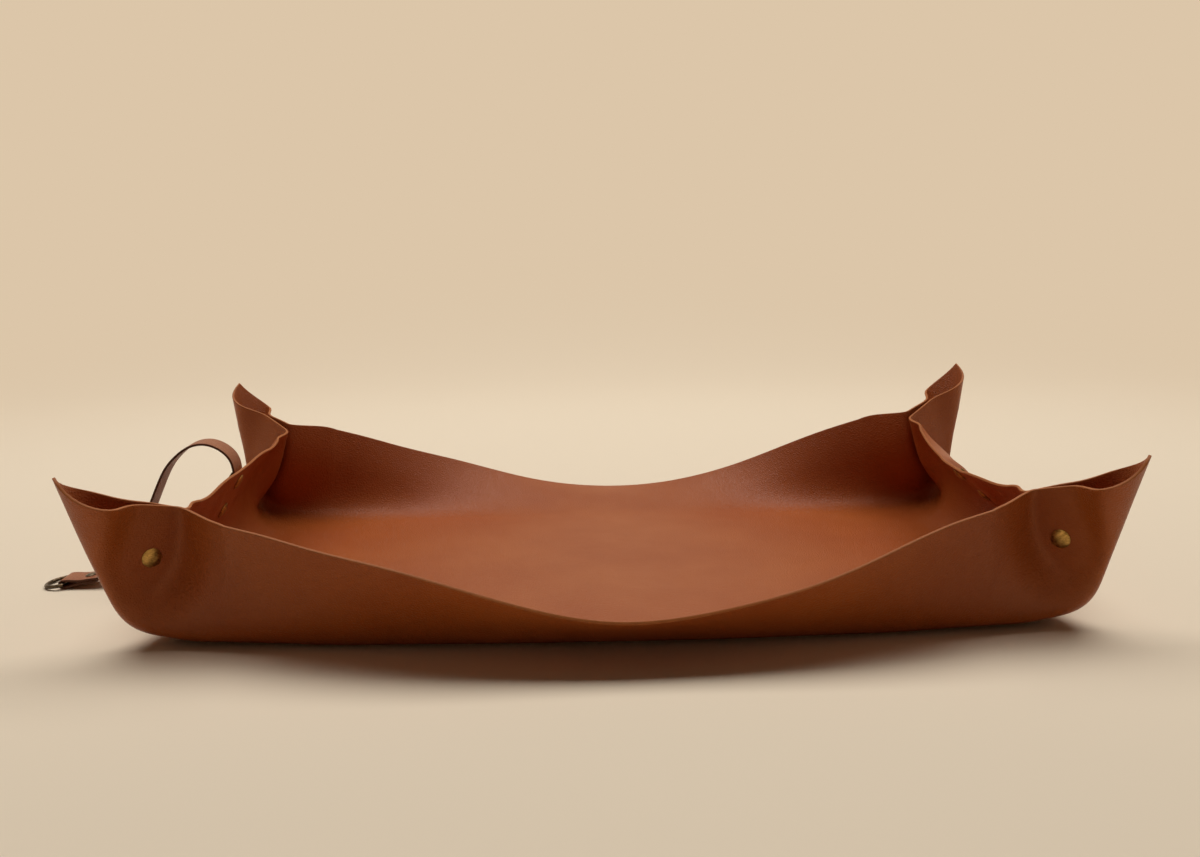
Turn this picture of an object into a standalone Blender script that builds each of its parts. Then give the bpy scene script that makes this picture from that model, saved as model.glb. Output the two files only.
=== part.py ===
# A tray folded from one leather sheet. Each corner is pinched into a pointed ear and held by a snap.
# The left end wall carries a strap with a D-ring, and both end walls carry two spare snap halves.
# Metres, +Z up. The origin is the middle of the sheet's flat base, on the floor.
import math

import bmesh
import bpy
import numpy as np
from mathutils import Matrix, Vector

# The sheet, laid flat.
SHEET_LENGTH = 0.860
SHEET_WIDTH = 0.560
WALL_WIDTH = 0.120
LEATHER = 0.0022
FOOT_CORNER_RADIUS = 0.040
PIECE_GAP = 0.0003

# Where the snaps pierce the sheet.
CORNER_SNAP_FROM_END = 0.096
CORNER_SNAP_FROM_EDGE = 0.040
LOWER_SNAP_FROM_EDGE = 0.040
UPPER_SNAP_FROM_EDGE = 0.0105
PINCH_FLAT_RADIUS = 0.0175
PINCH_FADE_RADIUS = 0.048
PINCH_TO_EDGE_SHARE = 0.33
END_FLAT_RADIUS = 0.029
END_FADE_RADIUS = 0.048

# How each wall stands against the mean of the four: outwards, then upwards.
FRONT_LEAN = (-0.002, 0.013)
BACK_LEAN = (0.002, -0.014)
LEFT_LEAN = (-0.003, 0.003)
RIGHT_LEAN = (-0.009, -0.008)
# How far each corner's half of its long wall is lifted, and how its ear's tip stands against the mean
# of the four: outwards along the tray, outwards across it, then upwards.
CORNER_LEANS = [
    ("back_right", -0.0075, (0.0045, 0.0, 0.0075)),
    ("front_right", -0.006, (-0.004, 0.0, -0.001)),
    ("front_left", 0.006, (0.003, 0.0, -0.002)),
    ("back_left", 0.0015, (0.0, 0.0, 0.0)),
]

# One quarter of the folded sheet, from the middle of a long wall round the ear to the middle of an end
# wall. Each row has a place, then three points of the sheet at one third, two thirds and the whole of
# the wall's width, or of the ear's. The points are steps from the sheet's foot along the tray, across
# it and up, as shares of the wall's width.
LONG_WALL_SHARES = [
    (0.00, (0.00, 0.33, 0.01), (0.00, 0.64, 0.12), (0.00, 0.95, 0.21)),
    (0.27, (0.00, 0.33, 0.01), (0.00, 0.63, 0.145), (0.00, 0.91, 0.29)),
    (0.58, (0.00, 0.33, 0.02), (0.00, 0.58, 0.225), (-0.02, 0.79, 0.48)),
    (0.82, (0.00, 0.33, 0.04), (-0.025, 0.495, 0.34), (-0.045, 0.62, 0.64)),
    (0.95, (0.03, 0.32, 0.065), (-0.005, 0.42, 0.415), (-0.015, 0.495, 0.74)),
]
EAR_SHARES = [
    (0.11, (0.12, 0.31, 0.08), (0.14, 0.29, 0.46), (0.14, 0.31, 0.865)),
    (0.295, (0.26, 0.31, 0.08), (0.37, 0.235, 0.44), (0.37, 0.35, 1.07)),
    (0.39, (0.32, 0.31, 0.08), (0.42, 0.39, 0.38), (0.44, 0.73, 1.11)),
    (0.50, (0.37, 0.29, 0.08), (0.52, 0.44, 0.36), (0.66, 0.71, 1.16)),
    (0.61, (0.37, 0.23, 0.10), (0.46, 0.36, 0.40), (0.58, 0.48, 1.19)),
    (0.705, (0.34, 0.15, 0.13), (0.27, 0.325, 0.44), (0.26, 0.45, 1.07)),
    (0.89, (0.29, 0.06, 0.17), (0.23, 0.12, 0.51), (0.05, 0.17, 0.85)),
]
END_WALL_SHARES = [
    (0.67, (0.27, 0.00, 0.16), (0.24, 0.00, 0.50), (0.05, -0.01, 0.78)),
    (0.00, (0.27, 0.00, 0.16), (0.24, 0.00, 0.48), (0.06, 0.00, 0.77)),
]
# How much of the leans and of the lift the rows above take at the sheet's edge.
LONG_LEAN_SHARES = (1.0, 1.0, 0.8, 0.55, 0.3)
LONG_LIFT_SHARES = (0.0, 0.7, 1.0, 0.2, 0.0)
EAR_LEAN_SHARES = (0.2, 0.4, 0.8, 1.0, 0.8, 0.4, 0.2)
END_LEAN_SHARES = (0.6, 1.0)
# How much of that lean the middle points take. Where an end wall's edge leans in, its middle bulges out.
LONG_MIDDLE_SHARE = 0.45
END_MIDDLE_SHARE = -0.5

# Snap halves. The cap's stem runs through the leather and is flared inside the socket or the stud.
CAP_RADIUS = 0.0073
CAP_HEIGHT = 0.0024
SOCKET_RADIUS = 0.0062
SOCKET_FLOOR = 0.0005
SOCKET_DEPTH = 0.0026
SOCKET_LIP = 0.0004
SOCKET_BORE = 0.0031
GROOVE_RADIUS = 0.0036
GROOVE_START = 0.0017
GROOVE_END = 0.0027
SPRING_WIRE = 0.00025
SPRING_RADIUS = 0.00295
STUD_FLANGE_RADIUS = 0.0056
STUD_FLANGE = 0.0009
STUD_HEIGHT = 0.0018
STUD_HEAD = 0.0006
STUD_HEAD_RADIUS = 0.0028
STUD_NECK_RADIUS = 0.0023
STUD_RECESS_RADIUS = 0.0021
STUD_RECESS = 0.0008
WIDE_STEM_RADIUS = 0.0019
WIDE_FLARE_RADIUS = 0.0026
THIN_STEM_RADIUS = 0.0012
THIN_FLARE_RADIUS = 0.0017
FLARE = 0.0003
POST_RADIUS = 0.0052
POST_HEIGHT = 0.0010

# The strap, its fold round the ring's bar, the ring and the rivet that closes the fold.
STRAP_LENGTH = 0.220
STRAP_WIDTH = 0.025
STRAP_THICKNESS = 0.0020
STRAP_TAIL = 0.011
RING_WIRE = 0.0016
RING_INNER_WIDTH = 0.0265
RING_DEPTH = 0.0180
RING_PLAY = 0.0004
RIVET_FROM_BAR = 0.0205
RIVET_FLAT = 0.0056
FOLD_END = 0.0080
FOLD_RISE = 7.0
RIVET_RADIUS = 0.0048
RIVET_HEIGHT = 0.0014
RIVET_STEM_RADIUS = 0.0015
# Where the strap carries the ring's bar, seen from its snap along the tray and across it, as shares of the
# strap's length.
RING_FROM_SNAP_SHARES = (-0.654, -0.107)
# The arch of the strap's middle line: steps from its snap along the tray, across it and up, as shares of the
# strap's length.
STRAP_ARCH_SHARES = [
    (0.014, 0.000, 0.042),
    (0.002, 0.000, 0.090),
    (-0.036, 0.000, 0.131),
    (-0.100, 0.000, 0.154),
    (-0.155, 0.000, 0.144),
    (-0.199, 0.000, 0.116),
    (-0.246, 0.000, 0.068),
    (-0.287, 0.000, -0.005),
]
# Its fall to the fold, as shares of the way from the snap to where the fold starts.
STRAP_FALL_SHARES = [
    (0.640, 0.047, 0.302),
    (0.757, 0.328, 0.661),
    (0.907, 0.749, 0.905),
]

LONG_STEPS = 5
EAR_STEPS = 22
END_STEPS = 6
WALL_ROWS = 12
TURN_SIDES = 16
SMALL_TURN_SIDES = 12
STRAP_STEPS = 40
RING_STEPS = 26
RING_SIDES = 8

HALF_TURN = math.pi
QUARTER_TURN = math.pi / 2
LONG_RUN = SHEET_LENGTH / 2 - WALL_WIDTH - FOOT_CORNER_RADIUS
END_RUN = SHEET_WIDTH / 2 - WALL_WIDTH - FOOT_CORNER_RADIUS
EAR_RUN = QUARTER_TURN * (FOOT_CORNER_RADIUS + WALL_WIDTH / 2)
QUARTER_RUN = LONG_RUN + EAR_RUN + END_RUN
EAR_REACH = (math.sqrt(2) - 1) * (FOOT_CORNER_RADIUS + WALL_WIDTH)


# Materials
def material(name, colour, roughness, metallic):
    made = bpy.data.materials.new(name)
    made.use_nodes = True
    shader = made.node_tree.nodes["Principled BSDF"]
    shader.inputs["Base Color"].default_value = (*colour, 1.0)
    shader.inputs["Roughness"].default_value = roughness
    shader.inputs["Metallic"].default_value = metallic
    return made


# Objects
def add_object(name, mesh_builder, look, frame=None, parent=None, smooth=True):
    """Turn a bmesh into a named object, placed by its frame and held by its parent."""
    bmesh.ops.recalc_face_normals(mesh_builder, faces=mesh_builder.faces)
    mesh = bpy.data.meshes.new(name)
    mesh_builder.to_mesh(mesh)
    mesh_builder.free()
    mesh.materials.append(look)
    if smooth:
        mesh.shade_smooth()
        mesh.set_sharp_from_angle(angle=math.radians(35))
    made = bpy.data.objects.new(name, mesh)
    bpy.context.collection.objects.link(made)
    if frame is not None:
        made.matrix_world = frame
    if parent is not None:
        made.parent = parent
        made.matrix_parent_inverse = parent.matrix_world.inverted()
    return made


def add_empty(name, frame, parent=None):
    """An empty that marks a joint's axis with its own Z."""
    made = bpy.data.objects.new(name, None)
    bpy.context.collection.objects.link(made)
    made.matrix_world = frame
    if parent is not None:
        made.parent = parent
        made.matrix_parent_inverse = parent.matrix_world.inverted()
    return made


def frame_along(origin, axis):
    """A frame at the origin given, with its Z along the axis."""
    turn = Vector(axis).to_track_quat("Z", "Y")
    return Matrix.Translation(Vector(origin)) @ turn.to_matrix().to_4x4()


def turned(profile, sides):
    """Turn a profile of (radius, height) points about Z; a point on the axis closes that end."""
    builder = bmesh.new()
    rings = []
    for radius, height in profile:
        if radius == 0:
            rings.append([builder.verts.new((0, 0, height))])
            continue
        ring = []
        for side in range(sides):
            angle = 2 * HALF_TURN * side / sides
            ring.append(builder.verts.new((radius * math.cos(angle), radius * math.sin(angle), height)))
        rings.append(ring)
    closed = len(rings[0]) > 1
    pairs = list(zip(rings, rings[1:] + rings[:1])) if closed else list(zip(rings, rings[1:]))
    for lower, upper in pairs:
        for side in range(sides):
            after = (side + 1) % sides
            corners = [lower[side % len(lower)], lower[after % len(lower)],
                       upper[after % len(upper)], upper[side % len(upper)]]
            builder.faces.new(list(dict.fromkeys(corners)))
    return builder


def tube_loop(points, across, radius, sides):
    """A closed tube along a flat loop of points; across is the loop's normal."""
    builder = bmesh.new()
    rings = []
    count = len(points)
    for index, point in enumerate(points):
        run = points[(index + 1) % count] - points[index - 1]
        out = run.cross(across).normalized()
        ring = []
        for side in range(sides):
            angle = 2 * HALF_TURN * side / sides
            ring.append(builder.verts.new(point + radius * (math.cos(angle) * out + math.sin(angle) * across)))
        rings.append(ring)
    for ring, following in zip(rings, rings[1:] + rings[:1]):
        for side in range(sides):
            after = (side + 1) % sides
            builder.faces.new((ring[side], ring[after], following[after], following[side]))
    return builder


# Smooth curves through chosen points
def slopes_through(knots, values, start_slope):
    """Slopes of the cubic curve through the values, free at its end; no start slope closes it in a loop."""
    steps = np.diff(knots)
    rises = np.diff(values, axis=0) / steps[:, None]
    looped = start_slope is None
    count = len(steps) if looped else len(knots)
    system = np.zeros((count, count))
    wanted = np.zeros((count, values.shape[1]))
    for row in range(count):
        if not looped and row == 0:
            system[row, row] = 1
            wanted[row] = start_slope
        elif not looped and row == count - 1:
            system[row, row - 1:row + 1] = (1, 2)
            wanted[row] = 3 * rises[-1]
        else:
            before, after = steps[row - 1], steps[row]
            system[row, (row - 1) % count] += after
            system[row, row] += 2 * (before + after)
            system[row, (row + 1) % count] += before
            wanted[row] = 3 * (after * rises[row - 1] + before * rises[row])
    slopes = np.linalg.solve(system, wanted)
    return np.vstack([slopes, slopes[:1]]) if looped else slopes


def along_curve(knots, values, slopes, places):
    """Points of a cubic curve at the places given."""
    places = np.atleast_1d(places)
    span = np.clip(np.searchsorted(knots, places, side="right") - 1, 0, len(knots) - 2)
    step = (knots[span + 1] - knots[span])[:, None]
    part = (places - knots[span])[:, None] / step
    lower = (1 + 2 * part) * (1 - part) ** 2 * values[span] + part * (1 - part) ** 2 * step * slopes[span]
    upper = part ** 2 * (3 - 2 * part) * values[span + 1] - part ** 2 * (1 - part) * step * slopes[span + 1]
    return lower + upper


# The folded sheet. A place round it is its distance along the quarter from the middle of a long wall.
def ear_turn(place):
    """How far the sheet's foot has turned from the long wall's direction at this place, in radians."""
    return QUARTER_TURN * min(max((place - LONG_RUN) / EAR_RUN, 0), 1)


def foot_and_heading(place):
    """Foot of the wall on the flat base in one quarter, and the way the sheet leaves it."""
    turn = ear_turn(place)
    heading = np.array([math.sin(turn), math.cos(turn)])
    centre = np.array([min(place, LONG_RUN), min(QUARTER_RUN - place, END_RUN)])
    return centre + FOOT_CORNER_RADIUS * heading, heading


def wall_length(place):
    """Sheet from the foot to its edge, longest at the ear's tip."""
    turn = ear_turn(place)
    return (WALL_WIDTH + FOOT_CORNER_RADIUS) / max(math.cos(turn), math.sin(turn)) - FOOT_CORNER_RADIUS


def outer_distance(place):
    """Sheet from the foot to the last chosen point; past the ear's edge it guides the surface only."""
    return WALL_WIDTH + EAR_REACH * math.sin(2 * ear_turn(place)) ** 2


def quarter_stations(quarter):
    """Every chosen row of one quarter: its place, its three points, its edge's lean and the middle's share."""
    side, depth = quarter_signs(quarter)
    long_out, long_up = BACK_LEAN if depth > 0 else FRONT_LEAN
    end_out, end_up = RIGHT_LEAN if side > 0 else LEFT_LEAN
    lift, ear_lean = CORNER_LEANS[quarter][1:]
    rows = []
    for (share, *points), lean_share, lift_share in zip(LONG_WALL_SHARES, LONG_LEAN_SHARES, LONG_LIFT_SHARES):
        lean = np.array([0, long_out, long_up]) * lean_share + np.array([0, 0, lift]) * lift_share
        rows.append((share * LONG_RUN, points, lean, LONG_MIDDLE_SHARE))
    for (share, *points), lean_share in zip(EAR_SHARES, EAR_LEAN_SHARES):
        lean = np.array(ear_lean) * lean_share
        rows.append((LONG_RUN + share * EAR_RUN, points, lean, LONG_MIDDLE_SHARE))
    for (share, *points), lean_share in zip(END_WALL_SHARES, END_LEAN_SHARES):
        lean = np.array([end_out, 0, end_up]) * lean_share
        rows.append((QUARTER_RUN - share * END_RUN, points, lean, END_MIDDLE_SHARE))
    return rows


def round_place(quarter, place):
    """Distance all the way round the tray, from the back wall's middle towards the right end."""
    forward = quarter % 2 == 0
    start = 2 * QUARTER_RUN * ((quarter + 1) // 2)
    return start + place if forward else start - place


def quarter_signs(quarter):
    """Which side of the tray a quarter is on: right or left, then back or front."""
    return (1 if quarter < 2 else -1), (1 if quarter in (0, 3) else -1)


def round_stations():
    """The chosen rows all the way round, as offsets from the foot, with each middle row taken once."""
    knots, offsets = [], []
    for quarter in range(4):
        side, depth = quarter_signs(quarter)
        rows = quarter_stations(quarter)
        if quarter % 2 == 1:
            rows = rows[::-1]
        for place, points, lean, middle_share in rows[:-1]:
            low, middle, edge = (WALL_WIDTH * np.array(point) for point in points)
            middle = middle + middle_share * lean
            edge = edge + lean
            mirror = np.array([side, depth, 1])
            knots.append(round_place(quarter, place))
            offsets.append(np.concatenate([low * mirror, middle * mirror, edge * mirror]))
    knots.append(4 * QUARTER_RUN)
    offsets.append(offsets[0])
    return np.array(knots), np.array(offsets)


class FoldedSheet:
    """The middle surface of the leather, read at a place round the tray and a distance from the foot."""

    def __init__(self):
        self.knots, self.offsets = round_stations()
        self.slopes = slopes_through(self.knots, self.offsets, None)

    def section(self, quarter, place, distances):
        side, depth = quarter_signs(quarter)
        foot, heading = foot_and_heading(place)
        mirror = np.array([side, depth, 1])
        foot = np.array([foot[0], foot[1], LEATHER / 2]) * mirror
        heading = np.array([heading[0], heading[1], 0]) * mirror
        offsets = along_curve(self.knots, self.offsets, self.slopes, round_place(quarter, place))[0]
        values = np.vstack([foot, foot + offsets.reshape(3, 3)])
        knots = np.array([0, WALL_WIDTH / 3, 2 * WALL_WIDTH / 3, outer_distance(place)])
        slopes = slopes_through(knots, values, heading)
        flat = foot[None, :2] + np.outer(distances, heading[:2])
        points = along_curve(knots, values, slopes, distances)
        points[:, 2] = np.maximum(points[:, 2], LEATHER / 2)
        return points, flat

    def chord(self, quarter, flat, span):
        """Middle and inward normal of the chord that reaches a span below and above a point of the flat
        sheet, given for the quarter at +X +Y."""
        reach = np.array(flat) - np.array([LONG_RUN, END_RUN])
        if reach[1] <= 0:
            place, distance = QUARTER_RUN - flat[1], reach[0] - FOOT_CORNER_RADIUS
        else:
            place = LONG_RUN + EAR_RUN * math.atan2(reach[0], reach[1]) / QUARTER_TURN
            distance = np.hypot(*reach) - FOOT_CORNER_RADIUS
        up = self.section(quarter, place, np.array([distance - span, distance, distance + span]))[0]
        neighbour = self.section(quarter, place - LEATHER, np.array([distance]))[0][0]
        side, depth = quarter_signs(quarter)
        normal = np.cross(up[2] - up[0], neighbour - up[1]) * side * depth
        return (up[0] + up[2]) / 2, normal / np.linalg.norm(normal)


def corner_zones(sheet):
    """At each corner, the two joined panels are pressed flat about one snap."""
    separation = LEATHER + snap_stack()
    half = np.array([SHEET_LENGTH / 2, SHEET_WIDTH / 2])
    long_flat = half - np.array([CORNER_SNAP_FROM_END, CORNER_SNAP_FROM_EDGE])
    end_flat = half - np.array([CORNER_SNAP_FROM_EDGE, CORNER_SNAP_FROM_END])
    zones = {}
    for quarter, (corner, _, _) in enumerate(CORNER_LEANS):
        long_point, long_normal = sheet.chord(quarter, long_flat, LEATHER)
        end_point, end_normal = sheet.chord(quarter, end_flat, LEATHER)
        axis = (long_normal - end_normal) / np.linalg.norm(long_normal - end_normal)
        middle = (long_point + end_point) / 2
        signs = np.array(quarter_signs(quarter))
        to_edge = np.diag(signs)
        for panel, flat, point, way, edge_way in (("long", long_flat, long_point, -1, to_edge[1]),
                                                  ("end", end_flat, end_point, 1, to_edge[0])):
            zones[corner, panel] = dict(flat=flat * signs, raw=point, axis=axis,
                                        centre=middle + way * axis * separation / 2,
                                        full=PINCH_FLAT_RADIUS, fade=PINCH_FADE_RADIUS, to_edge=edge_way)
    return zones


def end_zones(sheet):
    """Each end wall is flat where its two snaps sit, one above the other."""
    zones = {}
    between = (LOWER_SNAP_FROM_EDGE + UPPER_SNAP_FROM_EDGE) / 2
    flat = np.array([SHEET_LENGTH / 2 - between, 0])
    for quarter, wall in ((0, "right"), (2, "left")):
        point, normal = sheet.chord(quarter, flat, between)
        zones[wall, "end"] = dict(flat=flat * np.array(quarter_signs(quarter)), raw=point, axis=-normal,
                                  centre=point, full=END_FLAT_RADIUS, fade=END_FADE_RADIUS,
                                  to_edge=np.zeros(2))
    return zones


def press_flat(points, flats, zone):
    """Move the sheet onto the zone's plane, wholly inside its full radius and fading to nothing outside.
    Towards a pinched corner's edge a distance counts for a share, so the two panels stay apart up to it."""
    off = flats - zone["flat"]
    rise = np.maximum(off @ zone["to_edge"], 0)[..., None]
    distance = np.linalg.norm(off - (1 - PINCH_TO_EDGE_SHARE) * rise * zone["to_edge"], axis=-1)
    part = np.clip((zone["fade"] - distance) / (zone["fade"] - zone["full"]), 0, 1)
    weight = (part * part * (3 - 2 * part))[..., None]
    off_plane = ((points - zone["raw"]) @ zone["axis"])[..., None] * zone["axis"]
    return points + weight * (zone["centre"] - zone["raw"] - off_plane)


def ring_places():
    """The mesh's columns all the way round: (quarter, place) pairs."""
    quarter = np.concatenate([
        np.linspace(0, LONG_RUN, LONG_STEPS, endpoint=False),
        np.linspace(LONG_RUN, LONG_RUN + EAR_RUN, EAR_STEPS, endpoint=False),
        np.linspace(LONG_RUN + EAR_RUN, QUARTER_RUN, END_STEPS + 1)])
    columns = []
    for index in range(4):
        places = quarter if index % 2 == 0 else quarter[::-1]
        columns += [(index, place) for place in places[:-1]]
    return columns


def sheet_mesh(sheet, zones):
    """The walls as two surfaces a leather's thickness apart, joined at the edge and closed by the base."""
    points, flats = [], []
    for quarter, place in ring_places():
        distances = np.linspace(0, wall_length(place), WALL_ROWS + 1)
        section, flat = sheet.section(quarter, place, distances)
        points.append(section)
        flats.append(flat)
    points, flats = np.array(points), np.array(flats)
    for zone in zones:
        points = press_flat(points, flats, zone)
    round_run = np.roll(points, -1, axis=0) - np.roll(points, 1, axis=0)
    up_run = np.gradient(points, axis=1)
    normals = np.cross(round_run, up_run)
    normals /= np.linalg.norm(normals, axis=2)[..., None]
    normals[:, 0] = (0, 0, 1)
    inner = points + normals * LEATHER / 2
    outer = points - normals * LEATHER / 2
    builder = bmesh.new()
    grids = []
    for surface in (inner, outer):
        grids.append([[builder.verts.new(point) for point in column] for column in surface])
    count = len(points)
    for column in range(count):
        after = (column + 1) % count
        for grid in grids:
            for row in range(WALL_ROWS):
                builder.faces.new((grid[column][row], grid[after][row],
                                   grid[after][row + 1], grid[column][row + 1]))
        builder.faces.new((grids[0][column][-1], grids[0][after][-1],
                           grids[1][after][-1], grids[1][column][-1]))
    for grid in grids:
        builder.faces.new([column[0] for column in grid])
    return builder


# Snap halves. Heights are measured outwards from the leather's face on the piece's own side.
def snap_stack():
    """Room between two joined panels: the socket, the stud's flange and a gap at each face."""
    return PIECE_GAP + SOCKET_FLOOR + SOCKET_DEPTH + SOCKET_LIP + PIECE_GAP + STUD_FLANGE + PIECE_GAP


def cap_profile(stem_radius, flare_radius, layers):
    """A domed cap whose stem runs down through the layers and ends in a flare."""
    seat = PIECE_GAP
    end = -(layers + PIECE_GAP + SOCKET_FLOOR + PIECE_GAP)
    return [
        (0, seat + CAP_HEIGHT),
        (0.45 * CAP_RADIUS, seat + 0.93 * CAP_HEIGHT),
        (0.75 * CAP_RADIUS, seat + 0.74 * CAP_HEIGHT),
        (0.93 * CAP_RADIUS, seat + 0.46 * CAP_HEIGHT),
        (CAP_RADIUS, seat + 0.18 * CAP_HEIGHT),
        (0.97 * CAP_RADIUS, seat),
        (stem_radius, seat),
        (stem_radius, end),
        (flare_radius, end),
        (flare_radius, end - FLARE),
        (0, end - FLARE),
    ]


def socket_profile():
    """A cup with a hole in its floor, a groove for the spring and a lip at its mouth."""
    floor = PIECE_GAP
    inside = floor + SOCKET_FLOOR
    mouth = inside + SOCKET_DEPTH + SOCKET_LIP
    hole = WIDE_STEM_RADIUS + PIECE_GAP
    return [
        (hole, floor),
        (0.94 * SOCKET_RADIUS, floor),
        (SOCKET_RADIUS, floor + 0.2 * SOCKET_DEPTH),
        (SOCKET_RADIUS, mouth - 0.3 * SOCKET_DEPTH),
        (0.8 * SOCKET_RADIUS, mouth),
        (SOCKET_BORE, mouth),
        (SOCKET_BORE, inside + GROOVE_END),
        (GROOVE_RADIUS, inside + GROOVE_END),
        (GROOVE_RADIUS, inside + GROOVE_START),
        (SOCKET_BORE, inside + GROOVE_START),
        (SOCKET_BORE, inside),
        (hole, inside),
    ]


def spring_profile():
    """The spring's wire, in the middle of the socket's groove."""
    height = PIECE_GAP + SOCKET_FLOOR + (GROOVE_START + GROOVE_END) / 2
    profile = []
    for side in range(6):
        angle = 2 * HALF_TURN * side / 6
        profile.append((SPRING_RADIUS + SPRING_WIRE * math.cos(angle), height + SPRING_WIRE * math.sin(angle)))
    return profile


def stud_profile():
    """A flange with a necked nub, bored through for the stem and recessed for its flare."""
    top = PIECE_GAP + STUD_FLANGE
    tip = top + STUD_HEIGHT
    bore = THIN_STEM_RADIUS + PIECE_GAP
    return [
        (bore, PIECE_GAP),
        (STUD_FLANGE_RADIUS, PIECE_GAP),
        (STUD_FLANGE_RADIUS, top - 0.3 * STUD_FLANGE),
        (0.9 * STUD_FLANGE_RADIUS, top),
        (STUD_NECK_RADIUS, top),
        (STUD_NECK_RADIUS, tip - STUD_HEAD),
        (STUD_HEAD_RADIUS, tip - 0.6 * STUD_HEAD),
        (0.9 * STUD_HEAD_RADIUS, tip),
        (STUD_RECESS_RADIUS, tip),
        (STUD_RECESS_RADIUS, tip - STUD_RECESS),
        (bore, tip - STUD_RECESS),
    ]


def stem_through_stud(head, layers):
    """A head's profile ending in a thin stem that runs through the layers and the stud."""
    end = -(layers + PIECE_GAP + STUD_FLANGE + STUD_HEIGHT - STUD_RECESS + PIECE_GAP)
    return head + [
        (THIN_STEM_RADIUS, PIECE_GAP),
        (THIN_STEM_RADIUS, end),
        (THIN_FLARE_RADIUS, end),
        (THIN_FLARE_RADIUS, end - FLARE),
        (0, end - FLARE),
    ]


def post_profile():
    """The low button that holds a stud from the other side of the leather."""
    head = [
        (0, PIECE_GAP + POST_HEIGHT),
        (0.7 * POST_RADIUS, PIECE_GAP + 0.9 * POST_HEIGHT),
        (POST_RADIUS, PIECE_GAP + 0.3 * POST_HEIGHT),
        (0.96 * POST_RADIUS, PIECE_GAP),
    ]
    return stem_through_stud(head, LEATHER)


def add_female_half(place, centre, outward, layers, looks, strap_layers=0.0):
    """Cap on one face; socket and spring on the other face of the leather and of the strap on it."""
    cap_face = Vector(centre) + Vector(outward) * LEATHER / 2
    socket_face = Vector(centre) - Vector(outward) * (LEATHER / 2 + strap_layers)
    cap = turned(cap_profile(WIDE_STEM_RADIUS, WIDE_FLARE_RADIUS, layers), TURN_SIDES)
    add_object("cap_" + place, cap, looks["cap"], frame_along(cap_face, outward))
    back = frame_along(socket_face, -Vector(outward))
    add_object("socket_" + place, turned(socket_profile(), TURN_SIDES), looks["inner"], back)
    add_object("spring_" + place, turned(spring_profile(), SMALL_TURN_SIDES), looks["spring"], back)


def add_male_half(place, centre, outward, looks, capped):
    """Stud on the far face from a post, or from a cap where one is asked for."""
    near_face = Vector(centre) + Vector(outward) * LEATHER / 2
    far_face = Vector(centre) - Vector(outward) * LEATHER / 2
    if capped:
        head = cap_profile(THIN_STEM_RADIUS, THIN_FLARE_RADIUS, LEATHER)[:6]
        made = turned(stem_through_stud(head, LEATHER), TURN_SIDES)
        add_object("cap_" + place, made, looks["cap"], frame_along(near_face, outward))
    else:
        made = turned(post_profile(), SMALL_TURN_SIDES)
        add_object("post_" + place, made, looks["inner"], frame_along(near_face, outward))
    stud = turned(stud_profile(), SMALL_TURN_SIDES)
    add_object("stud_" + place, stud, looks["inner"], frame_along(far_face, -Vector(outward)))


def add_cutter(name, centre, axis, radius, depth):
    """A round cutter through one layer of leather."""
    builder = turned([(0, depth), (radius, depth), (radius, -depth), (0, -depth)], TURN_SIDES)
    cutter = add_object(name, builder, bpy.data.materials["cutter"], frame_along(centre, axis))
    cutter.hide_render = True
    cutter.display_type = "WIRE"
    return cutter


def cut_hole(target, cutter):
    cut = target.modifiers.new("hole", "BOOLEAN")
    cut.operation = "DIFFERENCE"
    cut.solver = "EXACT"
    cut.object = cutter


# The strap
def strap_centre_line(snap, up_wall, bar, fold_way):
    """Points of the strap's middle line: tail, snap, arch, then round the ring's bar and back."""
    points = [snap - up_wall * STRAP_TAIL, snap - up_wall * STRAP_TAIL / 2, snap, snap + up_wall * STRAP_TAIL / 2]
    for step in STRAP_ARCH_SHARES:
        points.append(snap + STRAP_LENGTH * Vector(step))
    fold_up = Vector((-fold_way.z, 0, fold_way.x))
    layer = (STRAP_THICKNESS + PIECE_GAP) / 2
    fall = bar + fold_way * (RIVET_FROM_BAR + FOLD_END) + fold_up * layer - snap
    for share in STRAP_FALL_SHARES:
        points.append(snap + fall * Vector(share))
    bend = RING_WIRE + RING_PLAY + STRAP_THICKNESS / 2
    slope = math.asin((bend - layer) / (RIVET_FROM_BAR - RIVET_FLAT))
    flat_run = [RIVET_FROM_BAR + FOLD_END, RIVET_FROM_BAR + RIVET_FLAT, RIVET_FROM_BAR, RIVET_FROM_BAR - RIVET_FLAT]
    for from_bar in flat_run:
        points.append(bar + fold_way * from_bar + fold_up * layer)
    bend_steps = 8
    for step in range(bend_steps + 1):
        angle = QUARTER_TURN - slope + (HALF_TURN + 2 * slope) * step / bend_steps
        points.append(bar + bend * (math.cos(angle) * fold_way + math.sin(angle) * fold_up))
    for from_bar in flat_run[::-1]:
        points.append(bar + fold_way * from_bar - fold_up * layer)
    return points


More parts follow.
